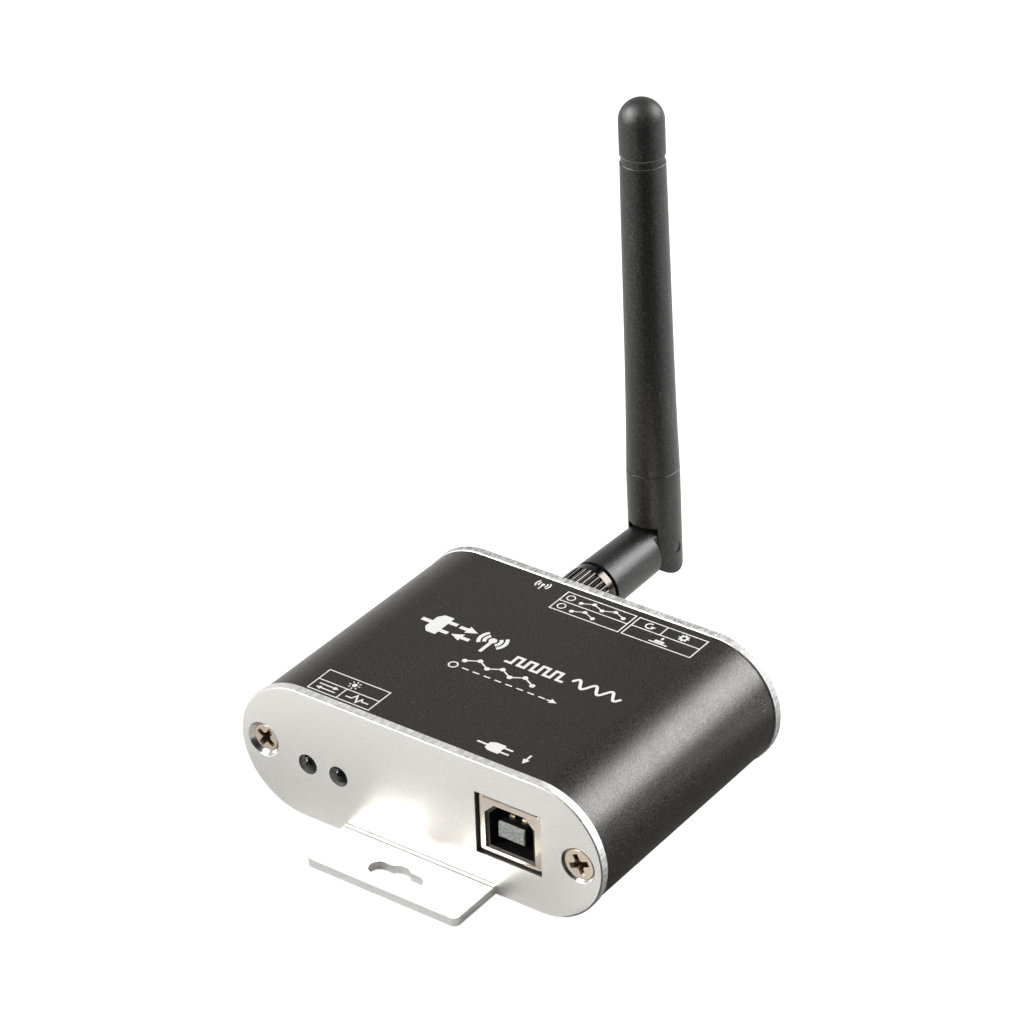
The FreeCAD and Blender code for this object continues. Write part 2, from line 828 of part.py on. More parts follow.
def hex_nut():
    """The nut that holds the jack to the rear plate, its corners turned off at the back."""
    corner = hex_across_flats / math.sqrt(3)
    points = [vec(jack_x + corner * math.cos(step * math.pi / 3), hex_start_y,
                  mid_z + corner * math.sin(step * math.pi / 3)) for step in range(7)]
    prism = Part.Face(Part.makePolygon(points)).extrude(vec(0, hex_thickness, 0))
    rear_radius = corner - hex_corner_cut
    turned = cone_y(jack_x, mid_z, rear_radius + hex_thickness, rear_radius, hex_start_y, hex_end_y)
    bore = rod_y(jack_x, mid_z, jack_thread / 2 + nut_bore_gap, hex_start_y - 1, hex_end_y + 1)
    return cut(prism.common(turned), [bore])


def coupling_nut():
    """The knurled nut that pulls the aerial onto the jack, with a lip behind its thread."""
    outer = nut_outer / 2
    body = rod_y(jack_x, mid_z, outer, nut_front_y, nut_rear_y)
    rims = edges_at_y(body, nut_front_y) + edges_at_y(body, nut_rear_y)
    circles = [edge for edge in rims if edge.BoundBox.XLength > outer]
    body = body.makeChamfer(nut_edge_chamfer, circles)
    tools = [rod_y(jack_x, mid_z, nut_bore, nut_front_y - 1, nut_lip_y),
             rod_y(jack_x, mid_z, plug_neck / 2 + ring_gap, nut_front_y, nut_rear_y + 1)]
    step = 360 / knurl_count
    half_groove = outer * math.radians(step) * knurl_groove_share / 2
    for turn in range(knurl_count):
        groove = box(jack_x - half_groove, jack_x + half_groove, nut_front_y - 1,
                     nut_rear_y - nut_collar_length, mid_z + outer - knurl_depth, mid_z + outer + 1)
        groove.rotate(vec(jack_x, 0, mid_z), AXIS_Y, turn * step)
        tools.append(groove)
    return cut(body, tools)


def retaining_ring():
    """The ring that traps the plug's collar in front of the nut's lip."""
    ring = rod_y(jack_x, mid_z, nut_bore - ring_gap, ring_front_y, nut_lip_y)
    return cut(ring, [rod_y(jack_x, mid_z, plug_neck / 2 + ring_gap, ring_front_y - 1, nut_lip_y + 1)])


def plug_body():
    """The brass plug: a sleeve in the jack, a collar in the nut and a shank in the base."""
    collar_end = ring_front_y - plug_face_gap
    shank_end = base_front_y + plug_shank_length
    sleeve_start = jack_seat_y + plug_face_gap
    sleeve = jack_counterbore / 2 - plug_sleeve_gap
    whole = fused([rod_y(jack_x, mid_z, sleeve, sleeve_start, collar_end),
                   rod_y(jack_x, mid_z, nut_bore - plug_collar_gap, plug_face_y, collar_end),
                   rod_y(jack_x, mid_z, plug_neck / 2, plug_face_y, shank_end)])
    tools = [rod_y(jack_x, mid_z, plug_insulation / 2, sleeve_start - 1, base_front_y),
             rod_y(jack_x, mid_z, cable_bore, base_front_y - 1, shank_end + 1)]
    return cut(whole, tools)


def plug_insulator():
    ring = rod_y(jack_x, mid_z, plug_insulation / 2 - insert_gap, plug_face_y, base_front_y)
    bore = rod_y(jack_x, mid_z, plug_pin / 2 + insert_gap, plug_face_y - 1, base_front_y + 1)
    return cut(ring, [bore])


def plug_pin_rod():
    """The plug's pin, from inside the jack's contact back to the cable."""
    return rod_y(jack_x, mid_z, plug_pin / 2, jack_seat_y - plug_pin_reach, base_front_y)


def aerial_base():
    """The round base behind the nut, with a flat tongue whose end is round about the hinge."""
    radius = base_end_radius
    barrel = cone_y(jack_x, mid_z, base_foot_radius, radius, base_front_y, base_rear_y)
    end = pivot_y + radius
    tongue = box(jack_x - tongue_half, jack_x + tongue_half, base_front_y, end, mid_z - radius,
                 mid_z + radius)
    tongue = tongue.common(rod_y(jack_x, mid_z, radius, base_front_y, end))
    before_pivot = box(jack_x - radius, jack_x + radius, base_front_y, pivot_y, mid_z - radius,
                       mid_z + radius)
    round_end = rod_x(pivot_y, mid_z, radius, jack_x - radius, jack_x + radius)
    round_back = rod_z(jack_x, pivot_y, aerial_radius, mid_z - radius - 1, mid_z + radius + 1)
    stop = fused([before_pivot, round_end.common(round_back)])
    channel = cable_channel / 2
    tools = [rod_y(jack_x, mid_z, plug_neck / 2 + insert_gap, base_front_y - 1,
                   base_front_y + plug_shank_length),
             rod_y(jack_x, mid_z, cable_bore, base_front_y, pivot_y),
             box(jack_x - channel, jack_x + channel, pivot_y - cable_bend_space, end + 1,
                 mid_z - channel, mid_z + radius + 1)]
    for side in (-1, 1):
        tools.append(rod_x(pivot_y, mid_z, hinge_pin / 2 + hinge_pin_gap,
                           jack_x + side * pin_floor_x, jack_x + side * (tongue_half + 1)))
    return lean(cut(fused([barrel, tongue.common(stop)]), tools))


def hinge_pins():
    """Two short pins, one through each ear of the fork into the tongue."""
    start = pin_floor_x + hinge_side_gap
    end = aerial_radius - hinge_pin_recess
    return [lean(rod_x(pivot_y, mid_z, hinge_pin / 2, jack_x + side * start, jack_x + side * end))
            for side in (-1, 1)]


def aerial_fork():
    """The lower end of the whip: two ears with round ends, and a spigot for the sheath."""
    radius = aerial_radius
    foot = mid_z - ear_radius
    top = mid_z + fork_height
    stem = rod_z(jack_x, pivot_y, radius, foot, top)
    rim = [edge for edge in stem.Edges if abs(edge.BoundBox.ZMin - top) < 0.001]
    stem = stem.makeChamfer(fork_edge_break, rim)
    ears = fused([box(jack_x - radius, jack_x + radius, pivot_y - ear_radius, pivot_y + ear_radius,
                      mid_z, top),
                  rod_x(pivot_y, mid_z, ear_radius, jack_x - radius, jack_x + radius)])
    whole = fused([stem.common(ears), rod_z(jack_x, pivot_y, spigot_radius, mid_z + slot_top,
                                            top + spigot_length)])
    tools = [box(jack_x - slot_half, jack_x + slot_half, pivot_y - radius - 1, pivot_y + radius + 1,
                 foot - 1, mid_z + slot_top),
             rod_x(pivot_y, mid_z, hinge_pin / 2 + hinge_pin_seat_gap, jack_x - radius - 1,
                   jack_x + radius + 1),
             rod_z(jack_x, pivot_y, cable_bore, mid_z, top + spigot_length + 1)]
    return lean(cut(whole, tools))


def whip_point(radius, height):
    return vec(jack_x + radius, pivot_y, mid_z + height)


def aerial_sheath():
    """The tapered sleeve of the whip: wider at its foot, nearly straight above its waist."""
    curve = Part.BSplineCurve()
    curve.interpolate([whip_point(sheath_foot_radius, sheath_foot),
                       whip_point(sheath_waist_radius, sheath_foot + sheath_waist_rise),
                       whip_point(sheath_middle_radius, sheath_foot + sheath_middle_rise),
                       whip_point(sheath_top_radius, sheath_top - sheath_top_break)])
    step = sheath_foot + spigot_length + spigot_gap
    corners = [whip_point(sheath_top_radius, sheath_top - sheath_top_break),
               whip_point(sheath_top_radius - sheath_top_break, sheath_top),
               whip_point(sheath_bore_radius, sheath_top),
               whip_point(sheath_bore_radius, step), whip_point(spigot_radius + spigot_gap, step),
               whip_point(spigot_radius + spigot_gap, sheath_foot),
               whip_point(sheath_foot_radius, sheath_foot)]
    straight = [line_edge(first, last) for first, last in zip(corners, corners[1:])]
    half_section = Part.Face(Part.Wire([curve.toShape()] + straight))
    return lean(half_section.revolve(whip_point(0, 0), AXIS_Z, 360))


def aerial_cap():
    """The domed cap, with a neck that shows as a groove above the sheath."""
    foot = mid_z + sheath_top
    shoulder = foot + cap_groove + cap_straight
    skirt = rod_z(jack_x, pivot_y, cap_radius, foot + cap_groove, shoulder)
    rim = [edge for edge in skirt.Edges if edge.BoundBox.ZMax < foot + cap_groove + 0.001]
    return lean(fused([
        rod_z(jack_x, pivot_y, sheath_bore_radius - spigot_gap, foot - cap_spigot_length, shoulder),
        rod_z(jack_x, pivot_y, cap_radius - cap_groove_depth, foot, shoulder),
        skirt.makeChamfer(cap_edge_bevel, rim),
        Part.makeSphere(cap_radius, vec(jack_x, pivot_y, shoulder))]))


def radiator_sleeve():
    """The thin sleeve of the aerial, closed round the cable at its top."""
    foot = cable_top_z - sleeve_length
    tube = rod_z(jack_x, pivot_y, sleeve_outer_radius, foot, cable_top_z)
    hollow = rod_z(jack_x, pivot_y, sleeve_outer_radius - sleeve_wall, foot - 1, cable_top_z - sleeve_wall)
    hole = rod_z(jack_x, pivot_y, cable_bore, foot, cable_top_z + 1)
    return lean(cut(tube, [hollow, hole]))


def whip_cable():
    return lean(rod_z(jack_x, pivot_y, cable_diameter / 2, mid_z + slot_top, cable_top_z))


def radiator_wire():
    """The thin wire from the cable's top to just under the cap."""
    top = mid_z + sheath_top - cap_spigot_length - wire_end_gap
    return lean(rod_z(jack_x, pivot_y, wire_radius, cable_top_z, top))


def base_cable():
    """The stretch of cable from the plug's pin to the hinge."""
    return rod_y(jack_x, mid_z, cable_diameter / 2, base_front_y, pivot_y - cable_bend_space)


def module_rows():
    """The x of the module's two rows of pins."""
    reach = module_width / 2 - header_inset
    return (module_middle_x - reach, module_middle_x + reach)


def pin_row(row_x):
    """The centres of one row's pins, spaced evenly about the module's middle."""
    middle = module_front_y + module_length / 2
    first = middle - (header_pin_count - 1) * header_pin_pitch / 2
    return [(row_x, first + step * header_pin_pitch) for step in range(header_pin_count)]


def header_pin_places():
    return [place for row_x in module_rows() for place in pin_row(row_x)]


def module_board():
    half = module_width / 2
    plate = box(module_middle_x - half, module_middle_x + half, module_front_y,
                module_front_y + module_length, module_bottom_z, module_top_z)
    holes = [square_pin_hole(x, y, header_pin, module_bottom_z - 1, module_top_z + 1)
             for x, y in header_pin_places()]
    return cut(plate, holes)


def square_pin_hole(x, y, side, z0, z1):
    """A round hole for a square pin, clear of its corners."""
    return rod_z(x, y, side * math.sqrt(0.5) + hole_gap, z0, z1)


def module_headers():
    """Two plastic strips that hold the module above the board."""
    strips = []
    half = header_width / 2
    side = header_pin / 2 + insert_gap
    for row_x in module_rows():
        strip = box(row_x - half, row_x + half, module_front_y, module_front_y + module_length,
                    board_top_z, module_bottom_z)
        strips.append(cut(strip, [box(x - side, x + side, y - side, y + side, board_top_z - 1,
                                      module_bottom_z + 1) for x, y in pin_row(row_x)]))
    return strips


def header_pins():
    half = header_pin / 2
    low = board_bottom_z - header_pin_under
    high = module_top_z + header_pin_over
    return [box(x - half, x + half, y - half, y + half, low, high) for x, y in header_pin_places()]


def resting_box(x, y, width, length, floor_z, height):
    """A block centred on x that starts at y and stands on a floor."""
    return box(x - width / 2, x + width / 2, y, y + length, floor_z, floor_z + height)


def radio_chip():
    return resting_box(module_middle_x, module_front_y + radio_chip_start, radio_chip_size,
                       radio_chip_size, module_top_z, module_chip_height)


def amplifier_chip():
    return resting_box(module_middle_x, module_front_y + amplifier_chip_start, amplifier_chip_size,
                       amplifier_chip_size, module_top_z, module_chip_height)


def module_crystal():
    return resting_box(module_middle_x, module_front_y + module_crystal_start, module_crystal_width,
                       module_crystal_length, module_top_z, module_crystal_height)


def bridge_chip():
    return resting_box(bridge_chip_x, case_front_y + bridge_chip_start, bridge_chip_width,
                       bridge_chip_length, board_top_z + bridge_chip_lift, bridge_chip_height)


def bridge_chip_leads():
    """Bent leads on both long sides of the chip: shoulder, drop and foot."""
    middle = case_front_y + bridge_chip_start + bridge_chip_length / 2
    first = middle - (bridge_lead_count - 1) * bridge_lead_pitch / 2
    shoulder = board_top_z + bridge_chip_lift + bridge_chip_height / 2
    thick = bridge_lead_thickness
    top = shoulder + thick
    half = bridge_lead_width / 2
    leads = []
    for side in (-1, 1):
        root = bridge_chip_x + side * bridge_chip_width / 2
        knee = root + side * bridge_lead_reach / 2
        outer = knee + side * thick
        toe = root + side * bridge_lead_reach
        for step in range(bridge_lead_count):
            y0 = first + step * bridge_lead_pitch - half
            y1 = y0 + bridge_lead_width
            leads.append(fused([box(root, outer, y0, y1, shoulder, top),
                                box(knee, outer, y0, y1, board_top_z, top),
                                box(knee, toe, y0, y1, board_top_z, board_top_z + thick)]))
    return leads


def voltage_regulator():
    return resting_box(regulator_x, case_front_y + regulator_start, regulator_width,
                       regulator_length, board_top_z, regulator_height)


def reservoir_capacitor():
    """A round can on a square foot."""
    side = capacitor_diameter + 2 * capacitor_foot_margin
    y = switch_front_y - switch_depth - capacitor_to_switch - side
    foot = resting_box(capacitor_x, y, side, side, board_top_z, capacitor_foot_height)
    can = rod_z(capacitor_x, y + side / 2, capacitor_diameter / 2, board_top_z,
                board_top_z + capacitor_height)
    return fused([foot, can])


def clock_crystal():
    return resting_box(clock_crystal_x, case_front_y + clock_crystal_start, clock_crystal_width,
                       clock_crystal_length, board_top_z, clock_crystal_height)


def small_part_row(x, start, height):
    """A row of small two-ended parts, one behind the other."""
    return [resting_box(x, case_front_y + start + step * chip_part_pitch, chip_part_length,
                        chip_part_width, board_top_z, height) for step in range(chip_part_count)]


def circuit_board():
    """The board, with a hole for every tail and peg that goes through it."""
    low = board_bottom_z - 1
    high = board_top_z + 1
    gap = hole_gap
    holes = [box(inner + math.copysign(gap, socket_x - inner), outer - math.copysign(gap, socket_x - outer),
                 peg_y - gap, peg_y + socket_peg_width + gap, low, high)
             for inner, outer in socket_pegs()]
    for face_z, way, tail_y in contact_rows():
        for x in contact_places():
            holes.append(rod_z(x, tail_y + contact_thickness / 2, contact_width / 2 + gap, low, high))
    for x in lead_places():
        holes.append(square_pin_hole(x, lead_bend_y, lead_size, low, high))
    for middle in key_places():
        for inner, outer in bracket_legs(middle):
            holes.append(box(inner + math.copysign(gap, middle - inner),
                             outer - math.copysign(gap, middle - outer), bracket_leg_y - gap,
                             bracket_leg_y + bracket_leg_width + gap, low, high))
    for x, y in jack_legs():
        holes.append(rod_z(x, y, jack_leg / 2 + gap, low, high))
    holes.append(rod_z(jack_x, jack_tail_y, jack_socket_outer / 2 + gap, low, high))
    for x, y in header_pin_places():
        holes.append(square_pin_hole(x, y, header_pin, low, high))
    plate = box(-board_half, board_half, board_front_y, board_rear_y, board_bottom_z, board_top_z)
    return cut(plate, holes)


save("case_tube", case_tube())
save("front_plate", front_plate())
save("rear_plate", rear_plate())
front_screws = end_screws()
save("front_screws", group(front_screws))
save("rear_screws", group([to_rear(screw) for screw in front_screws]))
save("circuit_board", circuit_board())

save("socket_shell", socket_shell())
save("socket_insert", socket_insert())
save("contact_tongue", contact_tongue())
save("socket_contacts", group(socket_contacts()))

for light_name, light_x in zip(("left_light", "right_light"), light_places()):
    save(light_name, light_lens(light_x))
save("light_leads", group(light_leads()))

for key_name, key_x in zip(("reset", "function"), key_places()):
    save(key_name + "_switch", switch_body(key_x))
    save(key_name + "_switch_cover", switch_cover(key_x))
    save(key_name + "_button", key_button(key_x))

save("aerial_jack", aerial_jack())
save("jack_insulator", jack_insulator())
save("jack_contact", jack_contact())
save("lock_washer", lock_washer())
save("hex_nut", hex_nut())
save("coupling_nut", coupling_nut())
save("retaining_ring", retaining_ring())
save("plug_body", plug_body())
save("plug_insulator", plug_insulator())
save("plug_pin", plug_pin_rod())

save("aerial_base", aerial_base())
save("base_cable", base_cable())
save("hinge_pins", group(hinge_pins()))
save("aerial_fork", aerial_fork())
save("aerial_sheath", aerial_sheath())
save("aerial_cap", aerial_cap())
save("whip_cable", whip_cable())
save("radiator_sleeve", radiator_sleeve())
save("radiator_wire", radiator_wire())

save("module_board", module_board())
save("module_headers", group(module_headers()))
save("header_pins", group(header_pins()))
save("radio_chip", radio_chip())
save("amplifier_chip", amplifier_chip())
save("module_crystal", module_crystal())
save("bridge_chip", bridge_chip())
save("bridge_chip_leads", group(bridge_chip_leads()))
save("voltage_regulator", voltage_regulator())
save("reservoir_capacitor", reservoir_capacitor())
save("clock_crystal", clock_crystal())
save("chip_resistors", group(small_part_row(resistor_row_x, resistor_row_start, resistor_height)))
save("ceramic_capacitors", group(small_part_row(ceramic_row_x, ceramic_row_start, ceramic_height)))

print("jack axis x", jack_x, "z", mid_z, "hinge y", pivot_y)
print("rear face", rear_y, "keyholes at y 0 and", front_y + rear_y)
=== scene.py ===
# %% [markdown]
# # A wireless bridge in a flat black case
#
# The object is a small radio bridge: an extruded aluminium case, a folded aluminium plate on
# each end, a data socket at the front and a tilting aerial at the rear. Its solid pieces come
# ready made, at their true size. This lesson dresses them: camera, floor, light, the finish of
# every piece, the white print on the case, and the fine thread and lamp insides.

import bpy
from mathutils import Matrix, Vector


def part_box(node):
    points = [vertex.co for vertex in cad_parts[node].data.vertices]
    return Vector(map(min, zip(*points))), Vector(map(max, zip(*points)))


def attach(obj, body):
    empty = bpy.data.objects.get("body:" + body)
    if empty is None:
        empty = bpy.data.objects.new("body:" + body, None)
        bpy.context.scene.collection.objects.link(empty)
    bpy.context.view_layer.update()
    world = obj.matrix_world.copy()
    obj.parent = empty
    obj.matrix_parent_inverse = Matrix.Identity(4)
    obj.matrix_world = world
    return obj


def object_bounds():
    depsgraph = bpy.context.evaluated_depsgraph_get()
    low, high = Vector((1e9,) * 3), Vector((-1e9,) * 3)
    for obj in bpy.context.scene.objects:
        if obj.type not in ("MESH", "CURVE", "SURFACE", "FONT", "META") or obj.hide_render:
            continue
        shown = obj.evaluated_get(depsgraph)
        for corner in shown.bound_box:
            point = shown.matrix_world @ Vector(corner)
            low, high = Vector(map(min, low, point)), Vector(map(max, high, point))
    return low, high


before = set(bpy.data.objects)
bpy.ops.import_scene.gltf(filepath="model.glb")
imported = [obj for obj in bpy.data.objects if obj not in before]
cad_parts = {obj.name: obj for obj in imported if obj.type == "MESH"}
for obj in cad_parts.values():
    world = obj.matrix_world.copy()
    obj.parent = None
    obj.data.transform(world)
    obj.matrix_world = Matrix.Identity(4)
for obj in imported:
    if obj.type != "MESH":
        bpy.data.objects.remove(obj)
solid_low, solid_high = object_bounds()
print("solid pieces:", len(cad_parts))

# %% Tools and units
import math

import bmesh
import bpy
from mathutils import Matrix, Vector

MM = 0.001
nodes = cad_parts
scene = bpy.context.scene
size_mm = [round(side / MM, 2) for side in solid_high - solid_low]
print("size of the solids in mm:", size_mm)

# %% [markdown]
# ## Camera
#
# A camera is placed most safely by what it looks at. It turns about a target point: first
# round the object (azimuth), then up (elevation), and last it rolls a little about its own
# view, as a hand-held camera does. A long lens keeps the far edges nearly as large as the
# near ones, as in a product photograph.

# %% Camera
AZIMUTH = math.radians(36.76)
ELEVATION = math.radians(31.13)
ROLL = math.radians(-1.965)
TARGET = Vector((0.0, 34.84, 52.55)) * MM
DISTANCE = 598.2 * MM
LENS = 130.43

back = Vector((math.sin(AZIMUTH) * math.cos(ELEVATION),
               -math.cos(AZIMUTH) * math.cos(ELEVATION),
               math.sin(ELEVATION)))
level_right = Vector((math.cos(AZIMUTH), math.sin(AZIMUTH), 0.0))
level_up = back.cross(level_right)
right = level_right * math.cos(ROLL) + level_up * math.sin(ROLL)
up = back.cross(right)

camera_data = bpy.data.cameras.new("camera")
camera_data.lens = LENS
camera_data.sensor_width = 36.0
camera_data.clip_start = 0.01
camera = bpy.data.objects.new("camera", camera_data)
scene.collection.objects.link(camera)
turn = Matrix((right, up, back)).transposed().to_4x4()
camera.matrix_world = Matrix.Translation(TARGET + back * DISTANCE) @ turn
scene.camera = camera
print("camera stands at (mm):", [round(c / MM, 1) for c in camera.matrix_world.translation])

# %% [markdown]
# ## A small kit for node materials
#
# Every finish here is a set of nodes, so that it has grain at the right scale. Writing each
# link out by hand gets long, so short helpers do it: they start a material, add a node with its
# values, work out one sum, blend two colours and make a noise. Noises use the piece's own
# coordinates, which ride with the piece when it moves.

# %% Helpers that start a material and add nodes
def start_finish(name):
    material = bpy.data.materials.new(name)
    material.use_nodes = True
    tree = material.node_tree
    return material, tree, tree.nodes["Principled BSDF"]


def fill(tree, node, inputs):
    """Gives each input its value, or links it where the value is another node's socket."""
    for key, value in inputs.items():
        if isinstance(value, bpy.types.NodeSocket):
            tree.links.new(value, node.inputs[key])
        else:
            node.inputs[key].default_value = value


def add(tree, kind, inputs, **settings):
    node = tree.nodes.new(kind)
    for key, value in settings.items():
        setattr(node, key, value)
    fill(tree, node, inputs)
    return node


print("a new node takes numbers and sockets alike")

# %% Helpers for sums and places
def calc(tree, operation, *values):
    """One sum with grey values. Each is a number or a socket."""
    return add(tree, "ShaderNodeMath", dict(enumerate(values)), operation=operation).outputs[0]


def multiply(tree, a, b):
    return calc(tree, "MULTIPLY", a, b)


def between(tree, value, low, high):
    """1 where `value` lies between two sizes in millimetres, 0 elsewhere."""
    return multiply(tree, calc(tree, "GREATER_THAN", value, low * MM),
                    calc(tree, "LESS_THAN", value, high * MM))


def own_place(tree):
    return add(tree, "ShaderNodeTexCoord", {}).outputs["Object"]


def split(tree, vector):
    """The X, Y and Z of a vector."""
    return add(tree, "ShaderNodeSeparateXYZ", {"Vector": vector}).outputs


def span(tree, across, up):
    """The length of the slanting side of a right triangle."""
    arm = add(tree, "ShaderNodeCombineXYZ", {"X": across, "Z": up}).outputs[0]
    return add(tree, "ShaderNodeVectorMath", {0: arm}, operation="LENGTH").outputs["Value"]


print("sizes go into the nodes in metres, one millimetre is", MM)

# %% Helpers that mix
def mix(tree, share, low, high):
    """Two grey values, mixed by a third."""
    return add(tree, "ShaderNodeMix", {"Factor": share, 2: low, 3: high}).outputs[0]


def blend(tree, share, low, high):
    """Two colours, mixed by a grey value. Each is a socket or three numbers."""
    low, high = [colour if isinstance(colour, bpy.types.NodeSocket) else (*colour, 1.0)
                 for colour in (low, high)]
    return add(tree, "ShaderNodeMix", {"Factor": share, 6: low, 7: high},
               data_type="RGBA").outputs[2]


def ramp(tree, value, low, high, start=0.35, end=0.65):
    """Two numbers or two colours, blended while a grey value goes from start to end."""
    if isinstance(low, tuple):
        return blend(tree, ramp(tree, value, 0.0, 1.0, start, end), low, high)
    return add(tree, "ShaderNodeMapRange", {"Value": value, "From Min": start, "From Max": end,
                                            "To Min": low, "To Max": high}).outputs[0]


def pick(tree, switch, off, on):
    """`off` where the switch is 0 and `on` where it is 1."""
    return ramp(tree, switch, off, on, 0.0, 1.0)


def dim(tree, colour, share):
    return add(tree, "ShaderNodeVectorMath", {0: colour, "Scale": share},
               operation="SCALE").outputs[0]


print("numbers and colours can be mixed")

# %% Helpers for grain and relief
def noise(tree, grain, detail=2.0, stretch=None):
    """A grey noise whose grains are about `grain` millimetres wide."""
    place = own_place(tree)
    if stretch:
        place = add(tree, "ShaderNodeMapping", {"Vector": place, "Scale": stretch}).outputs[0]
    return add(tree, "ShaderNodeTexNoise", {"Vector": place, "Scale": 1.0 / (grain * MM),
                                            "Detail": detail}).outputs[0]


def bump(tree, shader, height, depth):
    """Bends the light as if a height of 1 stood `depth` millimetres proud."""
    made = add(tree, "ShaderNodeBump", {"Height": height, "Distance": depth * MM,
                                        "Strength": 1.0})
    tree.links.new(made.outputs[0], shader.inputs["Normal"])


def plain_finish(name, dark, light, metal, rough, grain, depth):
    """A finish of one stuff: two close colours, two close roughnesses and a fine relief."""
    material, tree, shader = start_finish(name)
    cloud = noise(tree, grain, 3.0)
    fill(tree, shader, {"Base Color": ramp(tree, cloud, dark, light), "Metallic": metal,
                        "Roughness": ramp(tree, cloud, *rough)})
    bump(tree, shader, noise(tree, grain / 2), depth)
    return material


finishes = {}
print("finishes so far:", len(finishes))

# %% [markdown]
# ## Black anodised case
#
# The case is blasted with fine beads and then anodised black. The oxide is a thin glassy layer
# over a dyed one: it shines like a dull plastic and not like bare metal, and tiny facets of the
# blasted surface catch the light as sparse bright specks. So the shader isn't metallic. One noise
# of about a quarter of a millimetre gives its relief and also sharpens and blurs its shine by
# turns, which makes the highlights sandy. A sharp cut of a finer noise paints those glints into
# the colour as pale specks.

# %% Black anodised case
def black_anodised():
    material, tree, shader = start_finish("case_black")
    cloud = noise(tree, 2.5, 3.0)
    fine = noise(tree, 0.28)
    ground = ramp(tree, fine, (0.0010, 0.0009, 0.0008), (0.0215, 0.0200, 0.0182), 0.40, 0.60)
    # painted glints: sparse pale specks in the colour stand in for facets that catch the light
    glint_specks = ramp(tree, noise(tree, 0.20, 0.0), 0.0, 1.0, 0.80, 0.84)
    rough = calc(tree, "MULTIPLY_ADD", fine, 0.50, ramp(tree, cloud, 0.10, 0.13))
    fill(tree, shader, {"Base Color": blend(tree, glint_specks, ground, (0.17, 0.165, 0.155)),
                        "Roughness": rough})
    shader.inputs["Specular IOR Level"].default_value = 0.50
    shader.inputs["Specular Tint"].default_value = (1.0, 0.965, 0.93, 1.0)
    bump(tree, shader, fine, 0.026)
    return material


finishes["case_black"] = black_anodised()
print("made", finishes["case_black"].name)

# %% [markdown]
# ## Silver anodised plates
#
# The end plates are blasted and anodised without dye, so the metal shows through: a pale satin
# silver with a fine even grain. The sheet's cut edges are rougher than its faces, because cutting
# tears the metal a little. Painted shade darkens the cut edges of the rear plate and the walls
# round the socket. Place and direction tell an edge from a face: round the plates it is what lies
# within the sheet's thickness and doesn't face forward or back, and on the tabs it is what
# doesn't face up or down. Place alone finds the rest: the countersinks, which are turned and so
# shine more and are painted darker as shade, the two fine marks where the press folded a tab,
# painted dark as shade, and the strip of the rear plate that looks over the case. One material
# with masks suits this better than five materials, because each plate stays one solid with one
# slot. All places are in millimetres, and those along Y are counted from the middle between the
# plates.

# %% Places on the plates, and their cut edges
PLATES_MIDDLE = 32.7
PLATE_OUTER = 26.25
TAB_START = 26.75


def plate_places(tree):
    """X, Y and Z, then how far a point is beside, behind and from the plates' middle."""
    at = split(tree, own_place(tree))
    offset = calc(tree, "SUBTRACT", at["Y"], PLATES_MIDDLE * MM)
    return at, calc(tree, "ABSOLUTE", at["X"]), offset, calc(tree, "ABSOLUTE", offset)


def cut_edges(tree, distance):
    """1 on the cut edges of the folded plates, 0 on their faces."""
    facing = split(tree, add(tree, "ShaderNodeNewGeometry", {}).outputs["Normal"])
    not_forward, not_up = [calc(tree, "LESS_THAN", calc(tree, "ABSOLUTE", facing[axis]), 0.5)
                           for axis in ("Y", "Z")]
    on_plate = multiply(tree, calc(tree, "LESS_THAN", distance, PLATE_OUTER * MM), not_forward)
    on_tab = multiply(tree, calc(tree, "GREATER_THAN", distance, TAB_START * MM), not_up)
    return calc(tree, "MAXIMUM", on_plate, on_tab)


print("the middle between the plates is at y", PLATES_MIDDLE, "mm")

# %% Countersinks and creases
SCREW_X = 31.8
MID_Z = 12.45
SINK_RADIUS = 3.4
SINK_END = 26.23
CREASES = (((26.70, 26.88), (1.50, 1.70)), ((26.20, 26.40), (1.96, 2.12)))
TAB_HALF = 15.2


def countersinks(tree, at, side, distance):
    """1 in the cones round the screw heads."""
    radius = span(tree, calc(tree, "SUBTRACT", side, SCREW_X * MM),
                  calc(tree, "SUBTRACT", at["Z"], MID_Z * MM))
    return multiply(tree, calc(tree, "LESS_THAN", radius, SINK_RADIUS * MM),
                    calc(tree, "LESS_THAN", distance, SINK_END * MM))


def creases(tree, at, side, distance):
    """1 on the two fine marks where the press folded each tab out of its plate."""
    marks = [multiply(tree, between(tree, distance, *along_y), between(tree, at["Z"], *up))
             for along_y, up in CREASES]
    return multiply(tree, calc(tree, "MAXIMUM", *marks),
                    calc(tree, "LESS_THAN", side, TAB_HALF * MM))


print("countersinks at x", SCREW_X, "mm on both sides, creases", 2 * TAB_HALF, "mm long")

# %% The strip above the case and the socket's opening
PLATE_STRAIGHT = 23.95
BEVEL_RADII = (12.20, 12.45)
BEVEL_STRIP = (24.0, 24.75)
CUTOUT_X = (11.7, 24.8)
CUTOUT_Z = (7.0, 19.2)


def inner_bevel(tree, at, side, offset):
    """Falls from 1 to 0 across the strip of the rear plate that stands proud of the case."""
    reach = calc(tree, "MAXIMUM", calc(tree, "SUBTRACT", side, PLATE_STRAIGHT * MM), 0.0)
    radius = span(tree, reach, calc(tree, "SUBTRACT", at["Z"], MID_Z * MM))
    fall = ramp(tree, radius, 1.0, 0.0, *[limit * MM for limit in BEVEL_RADII])
    return multiply(tree, fall, between(tree, offset, *BEVEL_STRIP))


def cutout_walls(tree, at):
    """1 round the socket, where little light gets in."""
    return multiply(tree, between(tree, at["X"], *CUTOUT_X), between(tree, at["Z"], *CUTOUT_Z))


print("the strip is", round(BEVEL_RADII[1] - BEVEL_RADII[0], 2), "mm high")

